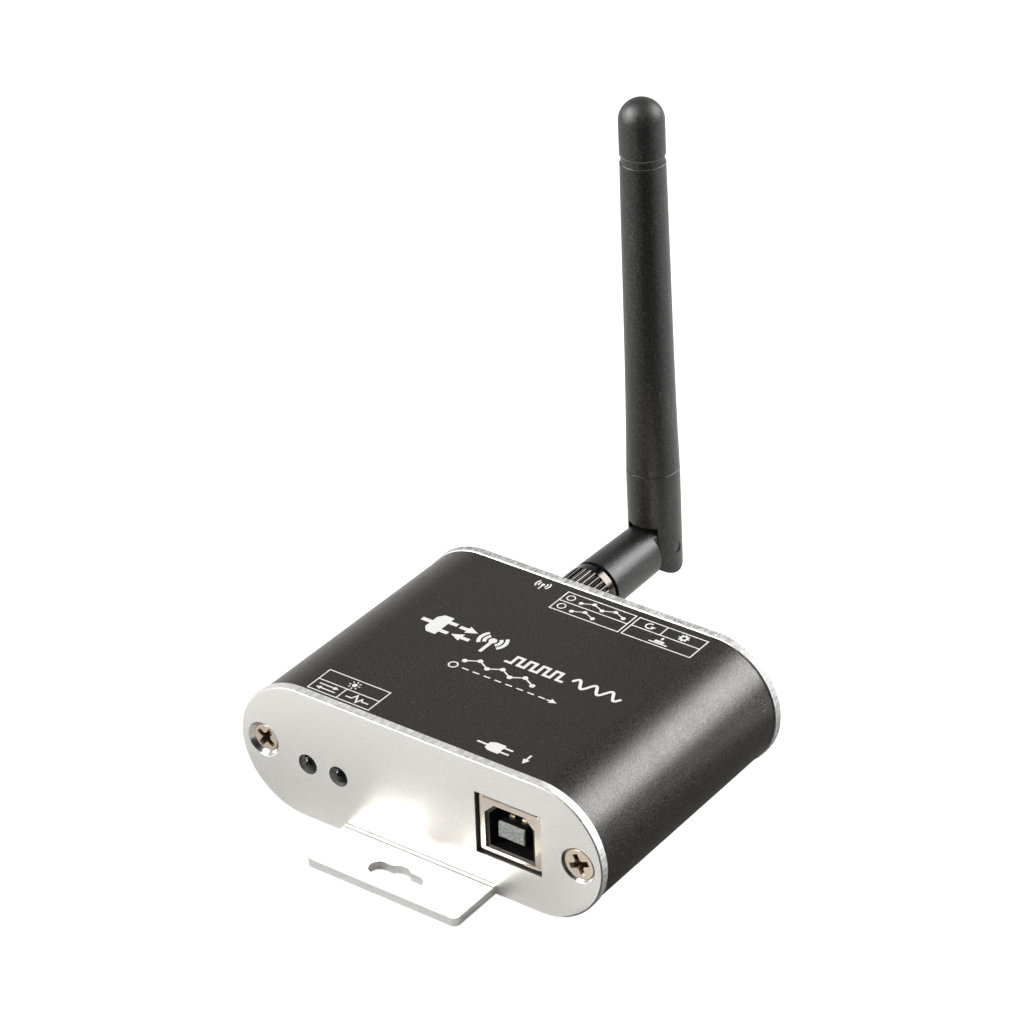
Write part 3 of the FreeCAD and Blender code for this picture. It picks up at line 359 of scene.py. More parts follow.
# %% Silver anodised plates
ARRIS = (24.70, 25.00)
REAR_EDGE_SHADE = 0.64
CUTOUT_SHADE = 0.30
CREASE_SHADE = 0.22


def silver_colour(tree, torn, fine, edge, rear, at, side, distance):
    """Pale faces and torn edges, with painted shade on the rear plate's edges, round the socket
    and in the creases.
    """
    tears = blend(tree, ramp(tree, torn, 0.0, 1.0, 0.40, 0.60),
                  pick(tree, rear, (0.82, 0.82, 0.80), (0.62, 0.62, 0.60)),
                  pick(tree, rear, (0.89, 0.89, 0.87), (1.0, 1.0, 0.98)))
    # painted shade: the rear plate's edges and the walls round the socket are darkened
    edge_shade = multiply(tree, pick(tree, rear, 1.0, REAR_EDGE_SHADE),
                          pick(tree, cutout_walls(tree, at), 1.0, CUTOUT_SHADE))
    faces = ramp(tree, fine, (0.79, 0.775, 0.745), (0.94, 0.925, 0.89))
    colour = blend(tree, edge, faces, dim(tree, tears, edge_shade))
    # painted shade in the two fold creases of each tab
    crease_shade = pick(tree, creases(tree, at, side, distance), 1.0, CREASE_SHADE)
    return dim(tree, colour, crease_shade)


def silver_anodised():
    material, tree, shader = start_finish("plate_silver")
    at, side, offset, distance = plate_places(tree)
    cloud = noise(tree, 1.4, 3.0)
    fine = noise(tree, 0.22)
    torn = noise(tree, 0.42, 5.0, stretch=(1.0, 0.30, 1.0))
    edge = cut_edges(tree, distance)
    rear = calc(tree, "GREATER_THAN", offset, 0.0)
    sunk = countersinks(tree, at, side, distance)
    colour = silver_colour(tree, torn, fine, edge, rear, at, side, distance)
    edge_rough = calc(tree, "MULTIPLY_ADD", rear, 0.22, ramp(tree, torn, 0.45, 0.65))
    rough = mix(tree, edge, ramp(tree, cloud, 0.42, 0.49), edge_rough)
    # painted shade: the countersinks' colour is darker than the faces; their lower roughness is
    # the real turned finish
    fill(tree, shader, {"Base Color": blend(tree, sunk, colour, (0.62, 0.60, 0.57)),
                        "Roughness": mix(tree, sunk, rough, 0.20), "Metallic": 1.0})
    arris = ramp(tree, offset, 1.0, 0.0, *[limit * MM for limit in ARRIS])
    tear_depth = multiply(tree, edge, pick(tree, rear, 1.5, 4.0))
    relief = calc(tree, "MULTIPLY_ADD", torn, tear_depth, fine)
    relief = calc(tree, "MULTIPLY_ADD", multiply(tree, edge, arris), 5.0, relief)
    relief = calc(tree, "MULTIPLY_ADD", inner_bevel(tree, at, side, offset), 9.0, relief)
    bump(tree, shader, relief, 0.020)
    return material


finishes["plate_silver"] = silver_anodised()
print("made", finishes["plate_silver"].name)

# %% [markdown]
# ## Other metals
#
# Pins, nuts, springs and cans are plated or tinned. What sets them apart is their colour, how
# far they blur a reflection, and how coarse their marks are. One helper with a line of values
# for each keeps them easy to compare. The screws, the data socket's shell and the coupling nut
# change along the piece, so each of them has a finish of its own after this list.

# %% Other metals
METALS = {
    "contact_gold": ((0.93, 0.76, 0.46), (1.0, 0.84, 0.56), (0.34, 0.42), 0.4, 0.003),
    "lead_tin": ((0.62, 0.62, 0.61), (0.74, 0.74, 0.73), (0.28, 0.40), 0.3, 0.006),
    "hardware_nickel": ((0.62, 0.59, 0.53), (0.74, 0.71, 0.65), (0.20, 0.30), 0.5, 0.005),
    "jack_brass": ((0.78, 0.57, 0.25), (0.88, 0.68, 0.34), (0.20, 0.30), 0.6, 0.004),
    "radiator_copper": ((0.72, 0.38, 0.26), (0.85, 0.50, 0.36), (0.25, 0.40), 0.8, 0.004),
    "crystal_silver": ((0.68, 0.68, 0.66), (0.78, 0.78, 0.76), (0.18, 0.28), 0.7, 0.003),
    "can_silver": ((0.72, 0.72, 0.72), (0.82, 0.82, 0.82), (0.20, 0.34), 0.5, 0.004),
}
for name, (dark, light, rough, grain, depth) in METALS.items():
    finishes[name] = plain_finish(name, dark, light, 1.0, rough, grain, depth)
print("made", len(METALS), "metals")

# %% [markdown]
# ## Screws
#
# The end screws are flat heads with a cross recess, plated in a warm nickel. Painted shade makes
# the recess darker and browner than the head. A second material on the recess would need its own
# faces, so the depth below the head's face blends the two.

# %% The screws
HEAD_LEFT = 25.65
HEAD_RIGHT = 26.0
RECESS = (0.15, 0.50)


def screw_metal():
    """Warm nickel, with painted shade in the cross recess. The right heads stand prouder."""
    material, tree, shader = start_finish("screw_nickel")
    at, _, _, distance = plate_places(tree)
    right_side = calc(tree, "GREATER_THAN", at["X"], 0.0)
    head = pick(tree, right_side, HEAD_LEFT * MM, HEAD_RIGHT * MM)
    depth = calc(tree, "SUBTRACT", head, distance)
    deep = ramp(tree, depth, 0.0, 1.0, *[limit * MM for limit in RECESS])
    cloud = noise(tree, 0.6)
    nickel = ramp(tree, cloud, (0.74, 0.63, 0.51), (0.79, 0.68, 0.56))
    # painted shade: the recess turns darker and browner with depth
    fill(tree, shader, {"Base Color": blend(tree, deep, nickel, (0.30, 0.22, 0.15)),
                        "Roughness": pick(tree, deep, 0.27, 0.14), "Metallic": 1.0})
    bump(tree, shader, cloud, 0.002)
    return material


finishes["screw_nickel"] = screw_metal()
print("made", finishes["screw_nickel"].name)

# %% [markdown]
# ## Socket shell
#
# The data socket's shell is bright steel sheet, folded round the black block. Along its top the
# fold leaves a seam and a lip that leans back a little. Both are finer than the sheet is thick,
# so colour paints the shade in the seam and a bump tilts the lip.

# %% The socket's shell
SHELL_FRONT = 7.12
SHELL_TOP = 18.6
LIP_FOOT = 18.18
SEAM_Z = (18.00, 18.22)
SEAM_Y = (7.12, 7.70)


def folded_shell():
    """Bright nickel. The lip above the seam leans back, and the seam is painted dark as shade."""
    material, tree, shader = start_finish("shell_nickel")
    at = split(tree, own_place(tree))
    seam = multiply(tree, between(tree, at["Z"], *SEAM_Z), between(tree, at["Y"], *SEAM_Y))
    cloud = noise(tree, 0.8, 3.0)
    nickel = ramp(tree, cloud, (0.78, 0.69, 0.60), (0.81, 0.72, 0.63))
    # painted shade in the seam
    fill(tree, shader, {"Base Color": blend(tree, seam, nickel, (0.05, 0.04, 0.03)),
                        "Roughness": ramp(tree, cloud, 0.20, 0.24), "Metallic": 1.0})
    front = calc(tree, "LESS_THAN", at["Y"], SHELL_FRONT * MM)
    lean = ramp(tree, at["Z"], 1.0, 0.0, LIP_FOOT * MM, SHELL_TOP * MM)
    bump(tree, shader, multiply(tree, front, lean), 0.20)
    return material


finishes["shell_nickel"] = folded_shell()
print("made", finishes["shell_nickel"].name)

# %% [markdown]
# ## Coupling nut
#
# The nut that holds the aerial is brass under black nickel, with a straight knurl. The ridges are
# solid, but their crests are flat there. A sine wave of the angle round the nut's axis rounds
# them by bump, and the distance from the axis paints shade into the grooves between them.

# %% The coupling nut
JACK_X = -12.42
KNURLS = 30
KNURL_END = 73.0
RIDGE_RADII = (4.72, 4.88)


def knurled_nut():
    """Black nickel, with painted shade between the ridges of the knurl, and each ridge rounded.
    """
    material, tree, shader = start_finish("nut_black_nickel")
    at = split(tree, own_place(tree))
    across = calc(tree, "SUBTRACT", at["X"], JACK_X * MM)
    up = calc(tree, "SUBTRACT", at["Z"], MID_Z * MM)
    turns = multiply(tree, calc(tree, "ARCTAN2", across, up), KNURLS)
    wave = calc(tree, "SINE", calc(tree, "SUBTRACT", turns, math.pi / 2))
    knurled = calc(tree, "LESS_THAN", at["Y"], KNURL_END * MM)
    tops = ramp(tree, span(tree, across, up), 0.0, 1.0, *[limit * MM for limit in RIDGE_RADII])
    shade_switch = calc(tree, "MAXIMUM", tops, calc(tree, "SUBTRACT", 1.0, knurled))
    # painted shade in the grooves between the ridges
    fill(tree, shader, {"Base Color": pick(tree, shade_switch, (0.008, 0.008, 0.009),
                                           (0.062, 0.055, 0.048)),
                        "Roughness": 0.17, "Metallic": 1.0})
    bump(tree, shader, multiply(tree, wave, knurled), 0.13)
    return material


finishes["nut_black_nickel"] = knurled_nut()
print("made", finishes["nut_black_nickel"].name)

# %% [markdown]
# ## Plastics and ceramics
#
# Switches, chips, pins and linings are moulded or fired. They differ in colour and in how dull
# they are, and none of them is a metal. So they share the metals' helper, with no metal in it.

# %% Plastics and ceramics
PLASTICS = {
    "pin_black": ((0.006, 0.006, 0.006), (0.012, 0.012, 0.012), (0.35, 0.45), 0.3, 0.006),
    "key_black": ((0.010, 0.010, 0.010), (0.018, 0.018, 0.018), (0.38, 0.48), 0.3, 0.006),
    "switch_black": ((0.009, 0.009, 0.009), (0.016, 0.016, 0.016), (0.42, 0.52), 0.3, 0.006),
    "insert_black": ((0.006, 0.006, 0.006), (0.012, 0.012, 0.012), (0.40, 0.50), 0.4, 0.006),
    "lining_white": ((0.72, 0.72, 0.69), (0.82, 0.82, 0.79), (0.35, 0.45), 0.5, 0.004),
    "cable_grey": ((0.05, 0.05, 0.05), (0.08, 0.08, 0.08), (0.40, 0.50), 0.3, 0.006),
    "chip_black": ((0.014, 0.014, 0.015), (0.024, 0.024, 0.025), (0.50, 0.60), 0.15, 0.008),
    "ceramic_tan": ((0.32, 0.20, 0.11), (0.42, 0.27, 0.16), (0.35, 0.45), 0.2, 0.003),
    "board_green": ((0.008, 0.055, 0.022), (0.014, 0.080, 0.034), (0.22, 0.32), 1.2, 0.004),
}
for name, (dark, light, rough, grain, depth) in PLASTICS.items():
    finishes[name] = plain_finish(name, dark, light, 0.0, rough, grain, depth)
print("made", len(PLASTICS), "plastics and ceramics")

# %% [markdown]
# ## Aerial and socket block
#
# The aerial is moulded in a fine spark-eroded tool, so it is matt with a sandy grain. Its base
# and its cap come out of other tools than the whip, so the light draws bands of another width on
# them, and a painted highlight lights the upper edge of the groove under the cap. The block in
# the socket is grey at its front, and behind the front a painted shade makes it black, where the
# shell keeps the light off. Both change along one axis, so a ramp of the place along that axis is
# all they need.

# %% Two plastics that change along the piece
BASE_END = (88.8, 89.2)
CAP_FOOT = (87.5, 87.9)
SHEATH_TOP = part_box("aerial_sheath")[1].z / MM
LEDGE = (SHEATH_TOP - 0.03, SHEATH_TOP + 0.03)
CAP_EDGE_HIGHLIGHT = (SHEATH_TOP + 1.25, SHEATH_TOP + 1.25 + 0.22)
BLOCK_SHADE_START = (8.01, 8.06)


def along(tree, axis, start, end):
    """0 before `start` and 1 after `end`, in millimetres along an axis of the piece."""
    return ramp(tree, split(tree, own_place(tree))[axis], 0.0, 1.0, start * MM, end * MM)


def aerial_plastic():
    """Matt black. The ledge above the sheath is dull, and the cap's lower edge has a painted pale
    highlight.
    """
    material, tree, shader = start_finish("aerial_black")
    grain = noise(tree, 0.32)
    ground = ramp(tree, grain, (0.0001, 0.0001, 0.0001), (0.0060, 0.0057, 0.0054), 0.42, 0.60)
    specks = ramp(tree, noise(tree, 0.32, 1.0), 0.0, 1.0, 0.52, 0.66)
    colour = blend(tree, specks, ground, (0.0240, 0.0230, 0.0220))
    height = split(tree, own_place(tree))["Z"]
    # painted highlight: a pale band on the cap's lower edge
    colour = blend(tree, between(tree, height, *CAP_EDGE_HIGHLIGHT), colour, (0.12, 0.12, 0.12))
    rough = pick(tree, along(tree, "Y", *BASE_END), 0.37, 0.40)
    rough = calc(tree, "MULTIPLY_ADD", along(tree, "Z", *CAP_FOOT), 0.06, rough)
    rough = calc(tree, "MULTIPLY_ADD", grain, 0.06, rough)
    rough = calc(tree, "MAXIMUM", between(tree, height, *LEDGE), rough)
    fill(tree, shader, {"Base Color": colour, "Roughness": rough})
    shader.inputs["Specular IOR Level"].default_value = 0.46
    bump(tree, shader, grain, 0.050)
    return material


def block_with_painted_shade():
    material, tree, shader = start_finish("tongue_grey")
    mottle = noise(tree, 0.45, 4.0)
    grey = ramp(tree, mottle, (0.16, 0.17, 0.17), (0.42, 0.43, 0.42))
    # painted shade: behind its front the block turns black, where the shell keeps the light off
    shade_switch = along(tree, "Y", *BLOCK_SHADE_START)
    fill(tree, shader, {"Base Color": blend(tree, shade_switch, grey, (0.012, 0.012, 0.012)),
                        "Roughness": ramp(tree, mottle, 0.40, 0.55)})
    bump(tree, shader, mottle, 0.03)
    return material


finishes["aerial_black"] = aerial_plastic()
finishes["tongue_grey"] = block_with_painted_shade()
print("made", finishes["aerial_black"].name, "and", finishes["tongue_grey"].name)

# %% [markdown]
# ## Clear lamp lenses
#
# Each signal lamp is a clear epoxy body. Glass is the right shader: full transmission, an
# index of refraction of epoxy, and a faint waviness from the mould.

# %% Clear lamp lenses
def clear_epoxy():
    material, tree, shader = start_finish("lens_clear")
    cloud = noise(tree, 1.5)
    fill(tree, shader, {"Base Color": ramp(tree, cloud, (0.93, 0.96, 0.97), (0.99, 1.0, 1.0)),
                        "Roughness": ramp(tree, cloud, 0.02, 0.06)})
    shader.inputs["Transmission Weight"].default_value = 1.0
    shader.inputs["IOR"].default_value = 1.53
    bump(tree, shader, cloud, 0.01)
    return material


finishes["lens_clear"] = clear_epoxy()
print("made", finishes["lens_clear"].name)

# %% [markdown]
# ## Dressing the solids
#
# Every solid piece has slots that already carry the name of their finish. Blender adds a number
# to a name that comes twice, so the part before the dot is what counts.

# %% Put every finish on its pieces
for node in nodes.values():
    for slot in node.material_slots:
        slot.material = finishes[slot.material.name.split(".")[0]]
print("dressed", len(nodes), "solid pieces in", len(finishes), "finishes")

# %% A helper for drawn shapes
def drawn(name, mesh, finish):
    """Turns a drawn mesh into an object with one finish."""
    bmesh.ops.recalc_face_normals(mesh, faces=mesh.faces)
    data = bpy.data.meshes.new(name)
    mesh.to_mesh(data)
    mesh.free()
    data.materials.append(finishes[finish])
    piece = bpy.data.objects.new(name, data)
    scene.collection.objects.link(piece)
    return piece


print("drawn shapes can wear any of", len(finishes), "finishes")

# %% [markdown]
# ## White print
#
# The case top is printed in white: three small tables, and marks in the middle, by the aerial
# and by the data socket. Ink is a film on the surface, so each mark is a flat prism a fiftieth
# of a millimetre thick. The marks are plain pictograms. Six strokes draw all of them: a filled
# outline, a bent line, a straight one, a disc, an arc and an open frame. The first cell lays
# down the ink, and the second makes strokes of it.

# %% Ink on the case top
INK_THICKNESS = 0.02
LAYER_STEP = 0.0004
TOP_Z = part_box("case_tube")[1].z / MM


class Ink:
    """Collects flat shapes on the case top, in millimetres, and turns them into one mesh."""

    def __init__(self, name):
        self.name = name
        self.mesh = bmesh.new()
        self.layers = 0

    def corners(self, points):
        """The corners of one shape, below on the case and above on the ink. Each new shape is
        a hair thicker than the last, so that shapes which cross don't share a plane."""
        top = TOP_Z + INK_THICKNESS + self.layers * LAYER_STEP
        return [[self.mesh.verts.new((x * MM, y * MM, z * MM)) for x, y in points]
                for z in (TOP_Z, top)]

    def fill(self, points):
        low, high = self.corners(points)
        self.layers += 1
        self.mesh.faces.new(high)
        self.mesh.faces.new(low[::-1])
        for i in range(len(points)):
            j = (i + 1) % len(points)
            self.mesh.faces.new((low[i], low[j], high[j], high[i]))

    def ribbon(self, left, right, closed):
        """A band between two rows of points: its ends are shut unless it runs in a circle."""
        left_low, left_high = self.corners(left)
        right_low, right_high = self.corners(right)
        self.layers += 1
        count = len(left)
        for i in range(count if closed else count - 1):
            j = (i + 1) % count
            self.mesh.faces.new((left_high[i], right_high[i], right_high[j], left_high[j]))
            self.mesh.faces.new((left_low[j], right_low[j], right_low[i], left_low[i]))
            self.mesh.faces.new((left_low[i], left_high[i], left_high[j], left_low[j]))
            self.mesh.faces.new((right_high[i], right_low[i], right_low[j], right_high[j]))
        if not closed:
            for i in (0, -1):
                self.mesh.faces.new((left_low[i], right_low[i], right_high[i], left_high[i]))

    def finish(self):
        piece = drawn(self.name, self.mesh, "ink_white")
        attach(piece, "root")
        print(self.name, "has", len(piece.data.polygons), "faces in", self.layers, "strokes")


finishes["ink_white"] = plain_finish("ink_white", (0.64, 0.64, 0.625), (0.74, 0.74, 0.725),
                                     0.0, (0.50, 0.60), 0.25, 0.004)
print("case top is at", round(TOP_Z, 3), "mm")

# %% Strokes of print
class Print(Ink):
    """Strokes made of ink, with their places and widths in millimetres."""

    def path(self, points, width, closed=False):
        """A bent stroke. Its corners are mitred, so the band keeps its width round them."""
        points = [Vector(point) for point in points]
        count = len(points)
        left, right = [], []
        for i, point in enumerate(points):
            before = points[i - 1] if i or closed else None
            after = points[(i + 1) % count] if i < count - 1 or closed else None
            ways = [(b - a).normalized() for a, b in ((before, point), (point, after))
                    if a is not None and b is not None]
            along = sum(ways, Vector((0.0, 0.0))).normalized()
            side = Vector((-along.y, along.x))
            reach = width / 2 / side.dot(Vector((-ways[0].y, ways[0].x)))
            left.append(point + side * reach)
            right.append(point - side * reach)
        self.ribbon(left, right, closed)

    def line(self, start, end, width):
        self.path([start, end], width)

    def disc(self, centre, radius, steps=24):
        self.fill([(centre[0] + radius * math.cos(math.tau * i / steps),
                    centre[1] + radius * math.sin(math.tau * i / steps)) for i in range(steps)])

    def arc(self, centre, radius, width, start=0.0, end=360.0):
        closed = end - start >= 360.0
        steps = max(6, round((end - start) / 10))
        angles = [math.radians(start + (end - start) * i / steps)
                  for i in range(steps if closed else steps + 1)]
        rows = [[(centre[0] + r * math.cos(t), centre[1] + r * math.sin(t)) for t in angles]
                for r in (radius + width / 2, radius - width / 2)]
        self.ribbon(*rows, closed)

    def frame(self, low, high, width):
        (x0, y0), (x1, y1) = low, high
        self.path([(x0, y0), (x1, y0), (x1, y1), (x0, y1)], width, closed=True)


print("strokes can be bent, straight, round or framed")

# %% Arrows, rays and waves made of strokes
RAYS = 8


def rays(ink, centre, inner, outer, width):
    """Short strokes round a centre, as a sun's rays or a wheel's teeth."""
    for i in range(RAYS):
        way = Vector((math.cos(math.tau * i / RAYS), math.sin(math.tau * i / RAYS)))
        ink.line(centre + way * inner, centre + way * outer, width)


def arrow(ink, tail, tip, width, head):
    """A straight arrow with a filled head as wide and as long as `head`."""
    a, b = Vector(tail), Vector(tip)
    along = (b - a).normalized()
    side = along.orthogonal()
    neck = b - along * head
    ink.line(a, neck, width)
    ink.fill([neck - side * head / 2, b, neck + side * head / 2])


def broadcast(ink, centre, dot, radii, width, mast):
    """A dot on a mast, with arcs that spread to both sides."""
    ink.disc(centre, dot)
    for radius in radii:
        ink.arc(centre, radius, width, -42, 42)
        ink.arc(centre, radius, width, 138, 222)
    foot = (centre[0], centre[1] - mast)
    ink.line((centre[0], centre[1] - dot * 0.9), foot, width)


print("a sun has", RAYS, "rays")

# %% Plugs and stations made of strokes
def plug(ink, start, length, height):
    """A plug seen from the side: cable, body and two prongs."""
    x, y = start
    body_x, prong_x = x + 0.30 * length, x + 0.74 * length
    ink.line((x, y), (body_x, y), 0.16 * height)
    ink.fill([(body_x, y - 0.30 * height), (body_x + 0.14 * length, y - height / 2),
              (prong_x, y - height / 2), (prong_x, y + height / 2),
              (body_x + 0.14 * length, y + height / 2), (body_x, y + 0.30 * height)])
    for side in (-1, 1):
        ink.line((prong_x, y + side * 0.25 * height), (x + length, y + side * 0.25 * height),
                 0.15 * height)


def linked_dots(ink, start, step, rise, count, dot, width):
    """Dots in a zigzag, joined by lines, as stations that pass a message on."""
    places = [(start[0] + i * step, start[1] + (rise if i % 2 else -rise)) for i in range(count)]
    for a, b in zip(places, places[1:]):
        ink.line(a, b, width)
    for place in places:
        ink.disc(place, dot)


print("pictograms are ready")

# %% The lamp table
RULE = 0.22
THIN = 0.28
LAMP_LEFT, LAMP_RIGHT = -23.48, -10.96
LAMP_FRONT, LAMP_ROW, LAMP_REAR = 8.82, 11.80, 14.82
LAMP_COLUMN = -17.6

lamps_print = Print("print_lamp_table")
lamps_print.frame((LAMP_LEFT, LAMP_FRONT), (LAMP_RIGHT, LAMP_REAR), RULE)
lamps_print.line((LAMP_LEFT, LAMP_ROW), (LAMP_RIGHT, LAMP_ROW), RULE)
lamps_print.line((LAMP_COLUMN, LAMP_FRONT), (LAMP_COLUMN, LAMP_ROW), RULE)
lamp_mark = Vector((-17.2, 13.31))
lamps_print.disc(lamp_mark, 0.48)
rays(lamps_print, lamp_mark, 0.74, 1.12, RULE)
arrow(lamps_print, (-22.5, 10.82), (-18.6, 10.82), THIN, 0.95)
arrow(lamps_print, (-18.6, 9.80), (-22.5, 9.80), THIN, 0.95)
lamps_print.path([(-16.6, 10.1), (-15.4, 10.1), (-14.9, 11.2), (-14.1, 9.45), (-13.6, 10.7),
                  (-13.3, 10.1), (-12.0, 10.1)], THIN)
lamps_print.finish()

# %% The key table
KEY_LEFT, KEY_RIGHT = 10.39, 24.03
KEY_FRONT, KEY_ROW, KEY_REAR = 50.14, 53.14, 55.80
KEY_COLUMN = 16.09

keys_print = Print("print_key_table")
keys_print.frame((KEY_LEFT, KEY_FRONT), (KEY_RIGHT, KEY_REAR), RULE)
keys_print.line((KEY_LEFT, KEY_ROW), (KEY_RIGHT, KEY_ROW), RULE)
keys_print.line((KEY_COLUMN, KEY_ROW), (KEY_COLUMN, KEY_REAR), RULE)
restart_mark = (13.24, 54.47)
keys_print.arc(restart_mark, 0.72, THIN, 70, 360)
keys_print.fill([(13.46, 54.52), (14.46, 54.52), (13.96, 53.75)])
wheel_mark = Vector((20.06, 54.47))
keys_print.arc(wheel_mark, 0.55, 0.34)
rays(keys_print, wheel_mark, 0.68, 1.0, 0.32)
keys_print.line((15.4, 50.85), (19.0, 50.85), THIN)
keys_print.fill([(16.3, 51.1), (18.1, 51.1), (18.1, 51.65), (16.3, 51.65)])
arrow(keys_print, (17.2, 52.8), (17.2, 51.8), THIN, 0.6)
keys_print.finish()

# %% The table of two modes
MODE_LEFT, MODE_RIGHT = -4.25, 9.67
MODE_FRONT, MODE_ROW, MODE_REAR = 50.10, 53.0, 55.83

modes_print = Print("print_mode_table")
modes_print.frame((MODE_LEFT, MODE_FRONT), (MODE_RIGHT, MODE_REAR), RULE)
modes_print.line((MODE_LEFT, MODE_ROW), (MODE_RIGHT, MODE_ROW), RULE)
for y, count in ((54.42, 5), (51.55, 3)):
    modes_print.arc((-2.75, y), 0.72, RULE)
    linked_dots(modes_print, (-0.4, y), 2.15, 0.45, count, 0.42, RULE)
modes_print.finish()

# %% The marks in the middle and by the sockets
aerial_print = Print("print_aerial_mark")
broadcast(aerial_print, (-9.2, 55.3), 0.34, (0.80, 1.35), THIN, 1.5)
aerial_print.finish()

middle_print = Print("print_middle_marks")
plug(middle_print, (-20.2, 35.65), 6.4, 5.6)
arrow(middle_print, (-13.2, 36.9), (-9.5, 36.9), 0.80, 2.1)
arrow(middle_print, (-9.5, 34.4), (-13.2, 34.4), 0.80, 2.1)
broadcast(middle_print, (-6.1, 36.5), 0.72, (1.45, 2.45), 0.66, 3.8)
middle_print.finish()

# %% The two waves
PULSE, PULSES, PULSE_START = 1.3, 4, -1.0
LOW, HIGH = 32.7, 34.8
SWING_START, SWING_LENGTH, SWINGS, SWING_STEPS = 11.9, 9.7, 3, 60
WAVE_WIDTH = 0.55

wave_print = Print("print_wave")
steps = [(PULSE_START, LOW)]
for i in range(PULSES):
    x = PULSE_START + PULSE * (2 * i + 1)
    steps += [(x, LOW), (x, HIGH), (x + PULSE, HIGH), (x + PULSE, LOW)]
steps.append((PULSE_START + PULSE * (2 * PULSES + 1), LOW))
wave_print.path(steps, WAVE_WIDTH)
swing = [(SWING_START + SWING_LENGTH * i / SWING_STEPS,
          (LOW + HIGH) / 2 + (HIGH - LOW) / 2 * math.sin(math.tau * SWINGS * i / SWING_STEPS))
         for i in range(SWING_STEPS + 1)]
wave_print.path(swing, WAVE_WIDTH)
wave_print.finish()

# %% The lines of dots and dashes
DASHES = 8
DASH_STEP = 2.2
DASH_Y = 27.15

lines_print = Print("print_lines")
linked_dots(lines_print, (-6.5, 29.75), 2.28, 0.62, 7, 0.5, THIN)
lines_print.arc((-7.4, DASH_Y), 0.78, THIN)
for i in range(DASHES):
    lines_print.line((-5.6 + DASH_STEP * i, DASH_Y), (-4.3 + DASH_STEP * i, DASH_Y), THIN)
arrow(lines_print, (11.4, DASH_Y), (13.4, DASH_Y), THIN, 1.3)
lines_print.finish()

socket_print = Print("print_socket_mark")
plug(socket_print, (8.9, 11.6), 6.6, 2.5)
arrow(socket_print, (18.6, 12.9), (18.6, 10.3), 0.34, 1.25)
socket_print.finish()

# %% [markdown]
# ## Thread on the aerial jack
#
# Between the hexagon nut and the coupling nut a little of the jack's thread shows. A thread is
# one ridge that winds round a rod, so the mesh is a small section carried along a helix. Only
# the crests stand proud of the plain rod, and they stay clear of the nuts' bores.

# %% Thread on the jack
THREAD_PITCH = 25.4 / 36
THREAD_CREST = 3.205
THREAD_ROOT = 3.08
THREAD_STEPS = 48
ROOT_SHARE = 0.46
CREST_SHARE = 0.09

hex_low, hex_high = [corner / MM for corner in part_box("hex_nut")]
hex_rear = hex_high.y
nut_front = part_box("coupling_nut")[0].y / MM
jack_x, jack_z = (hex_low.x + hex_high.x) / 2, (hex_low.z + hex_high.z) / 2


def helix_ridge(name, start, end):
    """A ridge along a helix. Its section's widths are shares of the pitch on each side."""
    turns = (end - start) / THREAD_PITCH
    section = [(THREAD_ROOT, -ROOT_SHARE), (THREAD_CREST, -CREST_SHARE),
               (THREAD_CREST, CREST_SHARE), (THREAD_ROOT, ROOT_SHARE)]
    mesh = bmesh.new()
    rings = []
    for i in range(round(turns * THREAD_STEPS) + 1):
        turn = math.tau * i / THREAD_STEPS
        y = start + THREAD_PITCH * i / THREAD_STEPS
        rings.append([mesh.verts.new(((jack_x + r * math.cos(turn)) * MM,
                                      (y + side * THREAD_PITCH) * MM,
                                      (jack_z + r * math.sin(turn)) * MM))
                      for r, side in section])
    for a, b in zip(rings, rings[1:]):
        for k in range(4):
            mesh.faces.new((a[k], a[(k + 1) % 4], b[(k + 1) % 4], b[k]))
    mesh.faces.new(rings[0])
    mesh.faces.new(rings[-1][::-1])
    return drawn(name, mesh, "jack_brass")


thread = helix_ridge("jack_thread", hex_rear - 0.4, nut_front + 0.6)
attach(thread, "root")
print("bare thread between the nuts:", round(nut_front - hex_rear, 2), "mm")

# %% [markdown]
# ## Inside the signal lamps
#
# A clear lamp shows what is cast in it: a bent lead with a small cup at its tip, a second
# lead beside it, the lit crystal in the cup and a hair of wire across. They are flat stamped
# shapes, so each is an outline with a thickness, and the cup is turned.

# %% Helpers for stamped and turned shapes
def stamped(mesh, outline, low_z, high_z):
    """A flat outline in x and y, given a thickness from low_z to high_z, in millimetres."""
    low = [mesh.verts.new((x * MM, y * MM, low_z * MM)) for x, y in outline]
    high = [mesh.verts.new((x * MM, y * MM, high_z * MM)) for x, y in outline]
    mesh.faces.new(low[::-1])
    mesh.faces.new(high)
    for i in range(len(outline)):
        j = (i + 1) % len(outline)
        mesh.faces.new((low[i], low[j], high[j], high[i]))


def turned(mesh, x, z, profile, steps=24):
    """A ring-shaped solid about an axis along Y. The profile is a closed list of (radius, y)."""
    rings = [[mesh.verts.new(((x + r * math.cos(math.tau * i / steps)) * MM, y * MM,
                              (z + r * math.sin(math.tau * i / steps)) * MM))
              for r, y in profile] for i in range(steps)]
    for i in range(steps):
        a, b = rings[i], rings[(i + 1) % steps]
        for k in range(len(profile)):
            n = (k + 1) % len(profile)
            mesh.faces.new((a[k], a[n], b[n], b[k]))


print("an outline is stamped, a profile is turned")

# %% Leads and cup
LEAD_SHEET = 0.45
CUP_FRONT = 2.3
CUP_LENGTH = 0.55
CUP_RADIUS = 0.62


